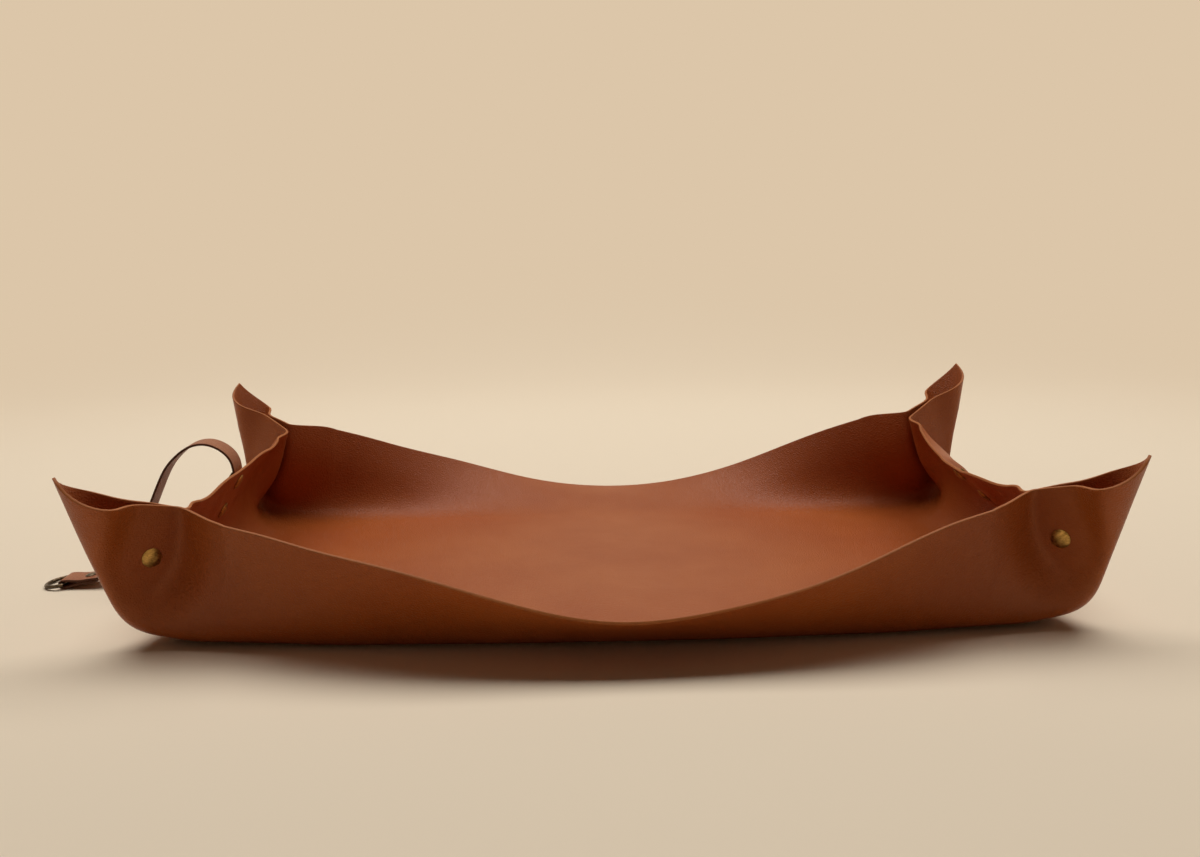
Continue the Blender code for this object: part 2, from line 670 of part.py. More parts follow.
def strap_mesh(points, start_heading):
    """A flat strip swept along the middle line, its width kept as near as it can be to straight across."""
    run = np.array([tuple(point) for point in points])
    knots = np.concatenate([[0], np.cumsum(np.linalg.norm(np.diff(run, axis=0), axis=1))])
    slopes = slopes_through(knots, run, np.array(start_heading))
    places = np.unique(np.concatenate([np.linspace(0, knots[-1], STRAP_STEPS), knots]))
    keep = np.concatenate([[True], np.diff(places) > STRAP_THICKNESS / 4])
    places = places[keep]
    centres = along_curve(knots, run, slopes, places)
    ahead = along_curve(knots, run, slopes, places + STRAP_THICKNESS / 50)
    builder = bmesh.new()
    rings = []
    for centre, following in zip(centres, ahead):
        heading = Vector(following - centre).normalized()
        across = (Vector((0, 1, 0)) - heading * heading.y).normalized() * STRAP_WIDTH / 2
        thick = heading.cross(across).normalized() * STRAP_THICKNESS / 2
        middle = Vector(centre)
        ring = [middle + across + thick, middle - across + thick, middle - across - thick, middle + across - thick]
        rings.append([builder.verts.new(point) for point in ring])
    for ring, following in zip(rings, rings[1:]):
        for side in range(4):
            after = (side + 1) % 4
            builder.faces.new((ring[side], ring[after], following[after], following[side]))
    builder.faces.new(rings[0])
    builder.faces.new(rings[-1])
    return builder


def rivet_profile(layers):
    """A low button with a stem through half of the layers."""
    return [
        (0, PIECE_GAP + RIVET_HEIGHT),
        (0.6 * RIVET_RADIUS, PIECE_GAP + 0.9 * RIVET_HEIGHT),
        (0.92 * RIVET_RADIUS, PIECE_GAP + 0.55 * RIVET_HEIGHT),
        (RIVET_RADIUS, PIECE_GAP + 0.2 * RIVET_HEIGHT),
        (0.96 * RIVET_RADIUS, PIECE_GAP),
        (RIVET_STEM_RADIUS, PIECE_GAP),
        (RIVET_STEM_RADIUS, -(layers - PIECE_GAP) / 2),
        (0, -(layers - PIECE_GAP) / 2),
    ]


def ring_loop():
    """The D-ring's middle line in its own frame: Z along the bar, X away from it to the bow."""
    half = RING_INNER_WIDTH / 2 + RING_WIRE
    corner = 1.5 * RING_WIRE
    loop = []
    for step in range(RING_STEPS + 1):
        angle = HALF_TURN * step / RING_STEPS
        bow = max(math.sin(angle), 0) ** 0.75
        loop.append(Vector((corner + (RING_DEPTH - corner) * bow, 0, half * math.cos(angle))))
    for side in (-1, 1):
        turn_points = []
        for step in range(1, 4):
            angle = QUARTER_TURN * step / 3
            turn_points.append(Vector((corner * (1 - math.sin(angle)), 0,
                                       side * (half - corner + corner * math.cos(angle)))))
        loop += turn_points if side < 0 else turn_points[::-1]
    return loop


def build():
    for found in list(bpy.data.objects):
        bpy.data.objects.remove(found)
    looks = {
        "sheet": material("sheet_leather", (0.36, 0.105, 0.032), 0.55, 0.0),
        "strap": material("strap_leather", (0.34, 0.12, 0.05), 0.55, 0.0),
        "cap": material("antique_brass", (0.33, 0.22, 0.08), 0.35, 1.0),
        "inner": material("dark_brass", (0.20, 0.14, 0.07), 0.40, 1.0),
        "spring": material("spring_steel", (0.45, 0.45, 0.43), 0.30, 1.0),
        "ring": material("gunmetal", (0.12, 0.10, 0.08), 0.35, 1.0),
    }
    material("cutter", (0.5, 0.5, 0.5), 0.5, 0.0)

    sheet = FoldedSheet()
    corners = corner_zones(sheet)
    ends = end_zones(sheet)
    zones = list(corners.values()) + list(ends.values())
    tray = add_object("tray_sheet", sheet_mesh(sheet, zones), looks["sheet"])
    wide_hole = WIDE_STEM_RADIUS + PIECE_GAP
    thin_hole = THIN_STEM_RADIUS + PIECE_GAP

    for (corner, panel), zone in corners.items():
        axis, centre = zone["axis"], zone["centre"]
        if panel == "long":
            add_female_half(corner, centre, -axis, LEATHER, looks)
            cut_hole(tray, add_cutter("hole_cap_" + corner, centre, axis, wide_hole, LEATHER))
        else:
            add_male_half(corner, centre, axis, looks, capped=False)
            cut_hole(tray, add_cutter("hole_post_" + corner, centre, axis, thin_hole, LEATHER))

    strap_layers = STRAP_THICKNESS + PIECE_GAP
    for (wall, _), zone in ends.items():
        outward = Vector(zone["axis"])
        up_wall = (Vector((0, 0, 1)) - outward * outward.z).normalized()
        for height, from_edge in (("lower", LOWER_SNAP_FROM_EDGE), ("upper", UPPER_SNAP_FROM_EDGE)):
            between = (LOWER_SNAP_FROM_EDGE + UPPER_SNAP_FROM_EDGE) / 2
            centre = Vector(zone["centre"]) + up_wall * (between - from_edge)
            place = wall + "_" + height
            hole = wide_hole if wall == "left" else thin_hole
            cut_hole(tray, add_cutter("hole_" + place, centre, outward, hole, LEATHER))
            if wall == "right":
                add_male_half(place, centre, -outward, looks, capped=True)
            elif height == "lower":
                add_female_half(place, centre, -outward, LEATHER, looks)
            else:
                add_female_half(place, centre, -outward, LEATHER + strap_layers, looks, strap_layers)
                add_strap(centre, outward, up_wall, looks)


def add_strap(snap, outward, up_wall, looks):
    """The strap on its snap, the ring in its fold and the rivet through the fold."""
    swivel = add_empty("strap_swivel", frame_along(snap, outward))
    seat = snap + outward * (LEATHER / 2 + PIECE_GAP + STRAP_THICKNESS / 2)
    fold_way = Vector((math.cos(math.radians(FOLD_RISE)), 0, math.sin(math.radians(FOLD_RISE))))
    bar_height = PIECE_GAP + STRAP_THICKNESS + RING_PLAY + RING_WIRE
    ring_step = STRAP_LENGTH * Vector(RING_FROM_SNAP_SHARES)
    bar = Vector((snap.x + ring_step.x, snap.y + ring_step.y, bar_height))
    points = strap_centre_line(seat, up_wall, bar, fold_way)
    strap = add_object("strap", strap_mesh(points, up_wall), looks["strap"], parent=swivel)
    cut_hole(strap, add_cutter("hole_strap", seat, outward, WIDE_STEM_RADIUS + PIECE_GAP, STRAP_THICKNESS))

    fold_up = Vector((-fold_way.z, 0, fold_way.x))
    rivet = bar + fold_way * RIVET_FROM_BAR
    layers = 2 * STRAP_THICKNESS + PIECE_GAP
    cut_hole(strap, add_cutter("hole_rivet", rivet, fold_up, RIVET_STEM_RADIUS + PIECE_GAP, layers))
    for name, way in (("rivet_cap", fold_up), ("rivet_base", -fold_up)):
        frame = frame_along(rivet + way * layers / 2, way)
        add_object(name, turned(rivet_profile(layers), SMALL_TURN_SIDES), looks["ring"], frame, swivel)

    droop = math.asin((bar_height - RING_WIRE - PIECE_GAP / 3) / RING_DEPTH)
    bow_way = Vector((-math.cos(droop), 0, -math.sin(droop)))
    across = Vector((0, 1, 0))
    upward = across.cross(bow_way)
    frame = Matrix.Translation(bar) @ Matrix((bow_way, upward, across)).transposed().to_4x4()
    hinge = add_empty("ring_hinge", frame, swivel)
    ring = tube_loop(ring_loop(), Vector((0, 1, 0)), RING_WIRE, RING_SIDES)
    add_object("d_ring", ring, looks["ring"], frame, hinge)


build()
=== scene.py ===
import bmesh
import bpy
import math
import mathutils
import numpy as np
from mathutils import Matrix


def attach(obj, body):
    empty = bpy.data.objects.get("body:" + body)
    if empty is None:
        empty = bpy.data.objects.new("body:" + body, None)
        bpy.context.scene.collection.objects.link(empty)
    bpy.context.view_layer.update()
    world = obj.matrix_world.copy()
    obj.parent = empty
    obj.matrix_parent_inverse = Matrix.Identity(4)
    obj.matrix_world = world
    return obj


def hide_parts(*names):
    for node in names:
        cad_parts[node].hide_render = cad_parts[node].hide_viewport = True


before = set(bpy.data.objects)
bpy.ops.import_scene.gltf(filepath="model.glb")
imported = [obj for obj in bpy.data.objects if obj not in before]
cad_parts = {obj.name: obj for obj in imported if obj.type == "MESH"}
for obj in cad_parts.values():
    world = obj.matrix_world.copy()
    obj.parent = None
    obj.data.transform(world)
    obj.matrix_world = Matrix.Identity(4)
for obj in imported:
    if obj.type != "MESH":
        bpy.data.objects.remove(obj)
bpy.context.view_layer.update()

# The leather sheet.
# One rectangle of vegetable-tanned cognac leather, 2.2 mm thick, with a smooth waxed face on both sides and
# burnished edges. Its walls rise where the four corners are pinched into ears, and nothing is cut or sewn.
SHEET_LENGTH = 0.860
SHEET_WIDTH = 0.560
WALL_WIDTH = 0.120
LEATHER = 0.0022
FOOT_CORNER_RADIUS = 0.040
RIM_ROUND = 0.0006
RIM_ROUND_POWER = 0.6
LONG_RUN = SHEET_LENGTH / 2 - WALL_WIDTH - FOOT_CORNER_RADIUS
END_RUN = SHEET_WIDTH / 2 - WALL_WIDTH - FOOT_CORNER_RADIUS
EAR_RUN = math.pi / 2 * (FOOT_CORNER_RADIUS + WALL_WIDTH / 2)
QUARTER_RUN = LONG_RUN + EAR_RUN + END_RUN
EAR_REACH = (math.sqrt(2) - 1) * (FOOT_CORNER_RADIUS + WALL_WIDTH)

# Rows of the folded wall: a place, then three points at a third, two thirds and all of its width, as
# steps from the foot along the tray, across it and up, in shares of the wall's width.
LONG_WALL_SHARES = [
    (0.00, (0.00, 0.33, 0.01), (0.00, 0.64, 0.12), (0.00, 0.95, 0.21)),
    (0.27, (0.00, 0.33, 0.01), (0.00, 0.63, 0.145), (0.00, 0.91, 0.29)),
    (0.58, (0.00, 0.33, 0.02), (0.00, 0.58, 0.225), (-0.02, 0.79, 0.48)),
    (0.82, (0.00, 0.33, 0.04), (-0.025, 0.495, 0.34), (-0.045, 0.62, 0.64)),
    (0.95, (0.03, 0.32, 0.065), (-0.005, 0.42, 0.415), (-0.015, 0.495, 0.74)),
]
EAR_SHARES = [
    (0.11, (0.12, 0.31, 0.08), (0.14, 0.29, 0.46), (0.14, 0.31, 0.865)),
    (0.295, (0.26, 0.31, 0.08), (0.37, 0.235, 0.44), (0.37, 0.35, 1.07)),
    (0.39, (0.32, 0.31, 0.08), (0.42, 0.39, 0.38), (0.44, 0.73, 1.11)),
    (0.50, (0.37, 0.29, 0.08), (0.52, 0.44, 0.36), (0.66, 0.71, 1.16)),
    (0.61, (0.37, 0.23, 0.10), (0.46, 0.36, 0.40), (0.58, 0.48, 1.19)),
    (0.705, (0.34, 0.15, 0.13), (0.27, 0.325, 0.44), (0.26, 0.45, 1.07)),
    (0.89, (0.29, 0.06, 0.17), (0.23, 0.12, 0.51), (0.05, 0.17, 0.85)),
]
END_WALL_SHARES = [
    (0.67, (0.27, 0.00, 0.16), (0.24, 0.00, 0.50), (0.05, -0.01, 0.78)),
    (0.00, (0.27, 0.00, 0.16), (0.24, 0.00, 0.48), (0.06, 0.00, 0.77)),
]
# How much of its wall's lean, or of its corner's lift, each of those rows takes.
LONG_LEAN_SHARES = (1.0, 1.0, 0.8, 0.55, 0.3)
LONG_LIFT_SHARES = (0.0, 0.7, 1.0, 0.2, 0.0)
EAR_LEAN_SHARES = (0.2, 0.4, 0.8, 1.0, 0.8, 0.4, 0.2)
END_LEAN_SHARES = (0.6, 1.0)
# The middle point of a row takes this share of what its edge leans; the end walls bulge the other way.
LONG_MIDDLE_SHARE = 0.45
END_MIDDLE_SHARE = -0.5
# In metres: how each wall leans outwards and up, by the side it stands on, then how far each corner lifts its
# half of a long wall, and how its ear's tip leans along the tray, across it and up.
LONG_LEANS = {1: (0.002, -0.014), -1: (-0.002, 0.013)}
END_LEANS = {1: (-0.009, -0.008), -1: (-0.003, 0.003)}
CORNERS = ["back_right", "front_right", "front_left", "back_left"]
CORNER_SIDES = [(1, 1), (1, -1), (-1, -1), (-1, 1)]
CORNER_LIFTS = [-0.0075, -0.006, 0.006, 0.0015]
EAR_LEANS = [(0.0045, 0.0, 0.0075), (-0.004, 0.0, -0.001), (0.003, 0.0, -0.002), (0.0, 0.0, 0.0)]


def slopes_through(knots, values, start=None):
    """Slopes of cubic curves of even curvature through the values, for many curves at once. With a start
    slope a curve ends free; with none it closes on itself."""
    steps = np.diff(knots)
    rises = np.diff(values, axis=-2) / steps[..., None]
    count = steps.shape[-1] + (start is not None)
    system = np.zeros(steps.shape[:-1] + (count, count))
    wanted = np.zeros(steps.shape[:-1] + (count, values.shape[-1]))
    for row in range(count):
        if start is not None and row == 0:
            system[..., 0, 0] = 1
            wanted[..., 0, :] = start
        elif start is not None and row == count - 1:
            system[..., row, row - 1:] = (1, 2)
            wanted[..., row, :] = 3 * rises[..., -1, :]
        else:
            before, after = steps[..., row - 1, None], steps[..., row, None]
            system[..., row, (row - 1) % count] += after[..., 0]
            system[..., row, row] += 2 * (before + after)[..., 0]
            system[..., row, (row + 1) % count] += before[..., 0]
            wanted[..., row, :] = 3 * (after * rises[..., row - 1, :] + before * rises[..., row, :])
    slopes = np.linalg.solve(system, wanted)
    return slopes if start is not None else np.concatenate([slopes, slopes[..., :1, :]], axis=-2)


def along_curve(knots, values, slopes, places):
    """Points of those curves at the places: the cubic between two knots with their values and slopes."""
    span = (places[..., :, None] >= knots[..., None, 1:-1]).sum(-1)
    start = np.take_along_axis(knots, span, -1)
    step = (np.take_along_axis(knots, span + 1, -1) - start)[..., None]
    part = (places - start)[..., None] / step
    first, second = span[..., None], span[..., None] + 1
    value, value_after = np.take_along_axis(values, first, -2), np.take_along_axis(values, second, -2)
    slope, slope_after = np.take_along_axis(slopes, first, -2), np.take_along_axis(slopes, second, -2)
    low = (1 + 2 * part) * (1 - part) ** 2 * value + part * (1 - part) ** 2 * step * slope
    return low + part ** 2 * (3 - 2 * part) * value_after - part ** 2 * (1 - part) * step * slope_after


def corner_rows(corner):
    """The chosen rows of one quarter, each as its place and its nine steps from the foot."""
    side, depth = CORNER_SIDES[corner]
    long_lean = np.array([0, *LONG_LEANS[depth]])
    end_lean = np.array([END_LEANS[side][0], 0, END_LEANS[side][1]])
    rows = []
    for (share, *points), lean, lift in zip(LONG_WALL_SHARES, LONG_LEAN_SHARES, LONG_LIFT_SHARES):
        leans = long_lean * lean + np.array([0, 0, CORNER_LIFTS[corner] * lift])
        rows.append((share * LONG_RUN, points, leans, LONG_MIDDLE_SHARE))
    for (share, *points), lean in zip(EAR_SHARES, EAR_LEAN_SHARES):
        leans = np.array(EAR_LEANS[corner]) * lean
        rows.append((LONG_RUN + share * EAR_RUN, points, leans, LONG_MIDDLE_SHARE))
    for (share, *points), lean in zip(END_WALL_SHARES, END_LEAN_SHARES):
        rows.append((QUARTER_RUN - share * END_RUN, points, end_lean * lean, END_MIDDLE_SHARE))
    mirror = np.array([side, depth, 1])
    chosen = []
    for place, points, lean, middle_share in rows:
        low, middle, edge = (WALL_WIDTH * np.array(point) for point in points)
        steps = np.stack([low, middle + middle_share * lean, edge + lean]) * mirror
        chosen.append((place, steps.ravel()))
    return chosen


row_runs, row_steps = [], []
for corner in range(4):
    rows = corner_rows(corner)
    forward = corner % 2 == 0
    for place, steps in (rows if forward else rows[::-1])[:-1]:
        row_runs.append(corner * QUARTER_RUN + place if forward else (corner + 1) * QUARTER_RUN - place)
        row_steps.append(steps)
row_runs = np.array(row_runs + [4 * QUARTER_RUN])
row_steps = np.array(row_steps + [row_steps[0]])
row_slopes = slopes_through(row_runs, row_steps)


def raw_wall(run, reach):
    """The folded wall before its snaps press it: the point at a distance round the tray and a distance up
    from the foot lies on a cubic that leaves the floor flat and passes the three steps of its place."""
    corner = np.clip(run // QUARTER_RUN, 0, 3).astype(int)
    place = np.where(corner % 2 == 0, run - corner * QUARTER_RUN, (corner + 1) * QUARTER_RUN - run)
    side, depth = np.array(CORNER_SIDES)[corner].T
    turn = math.pi / 2 * np.clip((place - LONG_RUN) / EAR_RUN, 0, 1)
    zero = np.zeros_like(run)
    heading = np.stack([side * np.sin(turn), depth * np.cos(turn), zero], -1)
    centre_x = side * np.minimum(place, LONG_RUN)
    centre_y = depth * np.minimum(QUARTER_RUN - place, END_RUN)
    centre = np.stack([centre_x, centre_y, zero], -1)
    foot = centre + FOOT_CORNER_RADIUS * heading + np.array([0, 0, LEATHER / 2])
    steps = along_curve(row_runs, row_steps, row_slopes, run).reshape(-1, 3, 3)
    values = foot[:, None] + np.concatenate([np.zeros((len(run), 1, 3)), steps], axis=1)
    outer = WALL_WIDTH + EAR_REACH * np.sin(2 * turn) ** 2
    knots = np.stack([zero, zero + WALL_WIDTH / 3, zero + 2 * WALL_WIDTH / 3, outer], -1)
    points = along_curve(knots, values, slopes_through(knots, values, heading), reach)
    points[..., 2] = np.maximum(points[..., 2], LEATHER / 2)
    flats = foot[:, None, :2] + reach[..., None] * heading[:, None, :2]
    return points, flats, foot


def raw_point(corner, flat, span):
    """The middle of the chord that reaches a span below and above a point of the unfolded sheet, and the
    chord's inward normal. The point is given for the far right quarter."""
    over = np.array(flat) - np.array([LONG_RUN, END_RUN])
    if over[1] <= 0:
        place, reach = QUARTER_RUN - flat[1], over[0] - FOOT_CORNER_RADIUS
    else:
        place = LONG_RUN + EAR_RUN * math.atan2(over[0], over[1]) / (math.pi / 2)
        reach = np.hypot(*over) - FOOT_CORNER_RADIUS
    way = 1 if corner % 2 == 0 else -1
    run = (corner if way > 0 else corner + 1) * QUARTER_RUN + way * place
    runs = np.array([run, run - way * LEATHER])
    points = raw_wall(runs, np.tile([reach - span, reach, reach + span], (2, 1)))[0]
    side, depth = CORNER_SIDES[corner]
    normal = np.cross(points[0, 2] - points[0, 0], points[1, 1] - points[0, 1]) * side * depth
    return (points[0, 0] + points[0, 2]) / 2, normal / np.linalg.norm(normal)


# Where the snaps press the leather flat: the two panels of each ear face each other, a snap's height apart,
# and each end wall is flat round its pair. A flat spot fades from its flat radius to its fade radius.
SNAP_FROM_END = 0.096
SNAP_FROM_EDGE = 0.040
LOWER_FROM_EDGE = 0.040
UPPER_FROM_EDGE = 0.0105
SNAP_STACK = 0.0053
PINCH_FLAT_RADIUS = 0.0175
PAIR_FLAT_RADIUS = 0.029
FADE_RADIUS = 0.048
TOWARDS_EDGE_SHARE = 0.33
flat_spots = {}
half_sheet = np.array([SHEET_LENGTH, SHEET_WIDTH]) / 2
for corner, name in enumerate(CORNERS):
    long_flat = half_sheet - np.array([SNAP_FROM_END, SNAP_FROM_EDGE])
    end_flat = half_sheet - np.array([SNAP_FROM_EDGE, SNAP_FROM_END])
    long_point, long_normal = raw_point(corner, long_flat, LEATHER)
    end_point, end_normal = raw_point(corner, end_flat, LEATHER)
    axis = (long_normal - end_normal) / np.linalg.norm(long_normal - end_normal)
    apart = axis * (LEATHER + SNAP_STACK) / 2
    signs = np.array(CORNER_SIDES[corner])
    middle = (long_point + end_point) / 2
    to_end, to_side = np.diag(signs)
    long_spot, end_spot = long_flat * signs, end_flat * signs
    flat_spots[name, "long"] = (long_spot, long_point, axis, middle - apart, PINCH_FLAT_RADIUS, to_side)
    flat_spots[name, "end"] = (end_spot, end_point, axis, middle + apart, PINCH_FLAT_RADIUS, to_end)
between = (LOWER_FROM_EDGE + UPPER_FROM_EDGE) / 2
for corner, name in ((0, "right"), (2, "left")):
    flat = np.array([SHEET_LENGTH / 2 - between, 0])
    point, normal = raw_point(corner, flat, between)
    spot = flat * np.array(CORNER_SIDES[corner])
    flat_spots[name, "end"] = (spot, point, -normal, point, PAIR_FLAT_RADIUS, np.zeros(2))


def pressed(points, flats):
    """Each spot draws the leather onto its plane: wholly within its flat radius, then by a smooth step that
    falls to nothing at the fade radius. Towards a pinched corner's edge a distance counts for a third."""
    for spot, raw, axis, centre, flat_radius, to_edge in flat_spots.values():
        off = flats - spot
        off = off - (1 - TOWARDS_EDGE_SHARE) * np.maximum(off @ to_edge, 0)[..., None] * to_edge
        far = np.linalg.norm(off, axis=-1)
        part = np.clip((FADE_RADIUS - far) / (FADE_RADIUS - flat_radius), 0, 1)
        weight = (part * part * (3 - 2 * part))[..., None]
        off_plane = ((points - raw) @ axis)[..., None] * axis
        points = points + weight * (centre - raw - off_plane)
    return points


def closed_mesh(name, points, uv, face_slots=None, wrap_rows=False):
    """A grid of points as a mesh, closed round its columns, and round its rows where asked: each face joins
    a point to its neighbours in the next column and the next row."""
    columns, rows = points.shape[:2]
    row = np.arange(rows if wrap_rows else rows - 1)
    column, row = np.meshgrid(np.arange(columns), row, indexing="ij")
    here, after = column * rows, (column + 1) % columns * rows
    above = (row + 1) % rows
    faces = np.stack([here + row, after + row, after + above, here + above], -1).reshape(-1, 4)
    mesh = bpy.data.meshes.new(name)
    mesh.from_pydata(points.reshape(-1, 3), [], faces)
    if face_slots is not None:
        slots = np.broadcast_to(face_slots, column.shape).ravel()
        mesh.polygons.foreach_set("material_index", slots.astype(np.int32))
    layer = mesh.uv_layers.new(name="UVMap")
    layer.data.foreach_set("uv", uv.reshape(-1, 2)[faces.ravel()].astype(np.float32).ravel())
    mesh.polygons.foreach_set("use_smooth", np.ones(len(faces), dtype=bool))
    piece = bpy.data.objects.new(name, mesh)
    bpy.context.collection.objects.link(piece)
    return piece


SAME_PLACE = 1e-6


def merge_doubles(piece):
    """Close the seams and poles where points of the grid fall together."""
    builder = bmesh.new()
    builder.from_mesh(piece.data)
    bmesh.ops.remove_doubles(builder, verts=builder.verts, dist=SAME_PLACE)
    bmesh.ops.recalc_face_normals(builder, faces=builder.faces)
    builder.to_mesh(piece.data)
    builder.free()


LONG_COLUMNS, EAR_COLUMNS, END_COLUMNS = 34, 70, 20
WALL_ROWS, BASE_ROWS, RIM_ROWS = 70, 6, 5
quarter_runs = np.concatenate([
    np.linspace(0, LONG_RUN, LONG_COLUMNS, endpoint=False),
    np.linspace(LONG_RUN, LONG_RUN + EAR_RUN, EAR_COLUMNS, endpoint=False),
    np.linspace(LONG_RUN + EAR_RUN, QUARTER_RUN, END_COLUMNS + 1)])
sheet_runs = np.concatenate([
    quarter_runs[:-1], 2 * QUARTER_RUN - quarter_runs[:0:-1],
    2 * QUARTER_RUN + quarter_runs[:-1], 4 * QUARTER_RUN - quarter_runs[:0:-1]])
quarter_of = np.clip(sheet_runs // QUARTER_RUN, 0, 3).astype(int)
place_of = np.where(quarter_of % 2 == 0, sheet_runs - quarter_of * QUARTER_RUN,
                    (quarter_of + 1) * QUARTER_RUN - sheet_runs)
turn_of = math.pi / 2 * np.clip((place_of - LONG_RUN) / EAR_RUN, 0, 1)
edge_of = (WALL_WIDTH + FOOT_CORNER_RADIUS) / np.maximum(np.cos(turn_of), np.sin(turn_of))
edge_of = edge_of - FOOT_CORNER_RADIUS
reach_rows = np.linspace(0, 1, WALL_ROWS + 1)[None, :] * (edge_of - RIM_ROUND)[:, None]
walls, wall_flats, feet = raw_wall(sheet_runs, reach_rows)
walls = pressed(walls, wall_flats)
# The base: straight lines from the foot to a spine along the middle of the tray.
spine_half = LONG_RUN - END_RUN
spine = feet * (0, 0, 1)
spine[:, 0] = np.clip(feet[:, 0], -spine_half, spine_half)
inward = np.linspace(1, 0, BASE_ROWS, endpoint=False)[None, :, None]
base = feet[:, None] + inward * (spine - feet)[:, None]
middle_surface = np.concatenate([base, walls], axis=1)
sheet_flats = np.concatenate([base[..., :2], wall_flats], axis=1)
round_way = np.roll(middle_surface, -1, axis=0) - np.roll(middle_surface, 1, axis=0)
up_way = np.gradient(middle_surface, axis=1)
inner_way = np.cross(round_way, up_way)
inner_way[:, :BASE_ROWS + 1] = (0, 0, 1)
inner_way /= np.linalg.norm(inner_way, axis=2)[..., None]
# The rim's round: a squared half ring from the inner face over the cut edge to the outer one.
edge_up = up_way[:, -1] / np.linalg.norm(up_way[:, -1], axis=1)[:, None]
rim_angle = np.linspace(0, math.pi, RIM_ROWS + 2)[None, 1:-1, None]
rim_across = np.sign(np.cos(rim_angle)) * np.abs(np.cos(rim_angle)) ** RIM_ROUND_POWER
rim_rise = np.sin(rim_angle) ** RIM_ROUND_POWER
rim = (middle_surface[:, -1:] + RIM_ROUND * rim_rise * edge_up[:, None]
       + LEATHER / 2 * rim_across * inner_way[:, -1:])
inner_face = middle_surface + inner_way * LEATHER / 2
outer_face = (middle_surface - inner_way * LEATHER / 2)[:, ::-1]
sheet_points = np.concatenate([inner_face, rim, outer_face], axis=1)
# The grain follows the unfolded sheet. The outer face takes its grain from another stretch of it.
OUTER_UV_STEP = (2.0, 0.0)
rim_uv = np.repeat(sheet_flats[:, -1:], RIM_ROWS, axis=1)
sheet_uv = np.concatenate([sheet_flats, rim_uv, sheet_flats[:, ::-1] + OUTER_UV_STEP], axis=1)
face_row = np.arange(sheet_points.shape[1] - 1) - BASE_ROWS - WALL_ROWS
is_rim = (face_row >= 0) & (face_row <= RIM_ROWS)
leather_sheet = closed_mesh("leather_sheet", sheet_points, sheet_uv, is_rim.astype(int)[None, :])
# How sharply the leather is bent: the turn of its normal for each metre round the tray, as a share of the
# sharpest bend.
# The colour is lightened with it, partly as pull-up leather pales where stretched, partly as a painted
# highlight along the folds.
SHARPEST_BEND = 90
LEAST_STEP = 1e-5
bend = np.linalg.norm(np.roll(inner_way, -1, axis=0) - np.roll(inner_way, 1, axis=0), axis=2)
bend = bend / np.maximum(np.linalg.norm(round_way, axis=2), LEAST_STEP)
bend[:, :BASE_ROWS + 1] = 0
bend = np.clip(bend / SHARPEST_BEND, 0, 1)
bend_pullup_and_highlight_all = np.concatenate([bend, np.repeat(bend[:, -1:], RIM_ROWS, axis=1), bend[:, ::-1]], axis=1)
pullup_and_highlight_layer = leather_sheet.data.attributes.new("bend", "FLOAT", "POINT")
pullup_and_highlight_layer.data.foreach_set("value", bend_pullup_and_highlight_all.astype(np.float32).ravel())
merge_doubles(leather_sheet)


def colour(code):
    """The linear colour of an sRGB hex code."""
    parts = [int(code[start:start + 2], 16) / 255 for start in (1, 3, 5)]
    return (*[part / 12.92 if part <= 0.04045 else ((part + 0.055) / 1.055) ** 2.4 for part in parts], 1.0)


def add_node(material, kind, settings=(), inputs=()):
    """Add one shader node: its settings by name, and each input as a value or as another node's output."""
    made = material.node_tree.nodes.new(kind)
    for name, value in dict(settings).items():
        setattr(made, name, value)
    for name, value in dict(inputs).items():
        if isinstance(value, bpy.types.NodeSocket):
            material.node_tree.links.new(value, made.inputs[name])
        else:
            made.inputs[name].default_value = value
    return made


FLECK_MM = 3.85
PORE_MM = 1.11


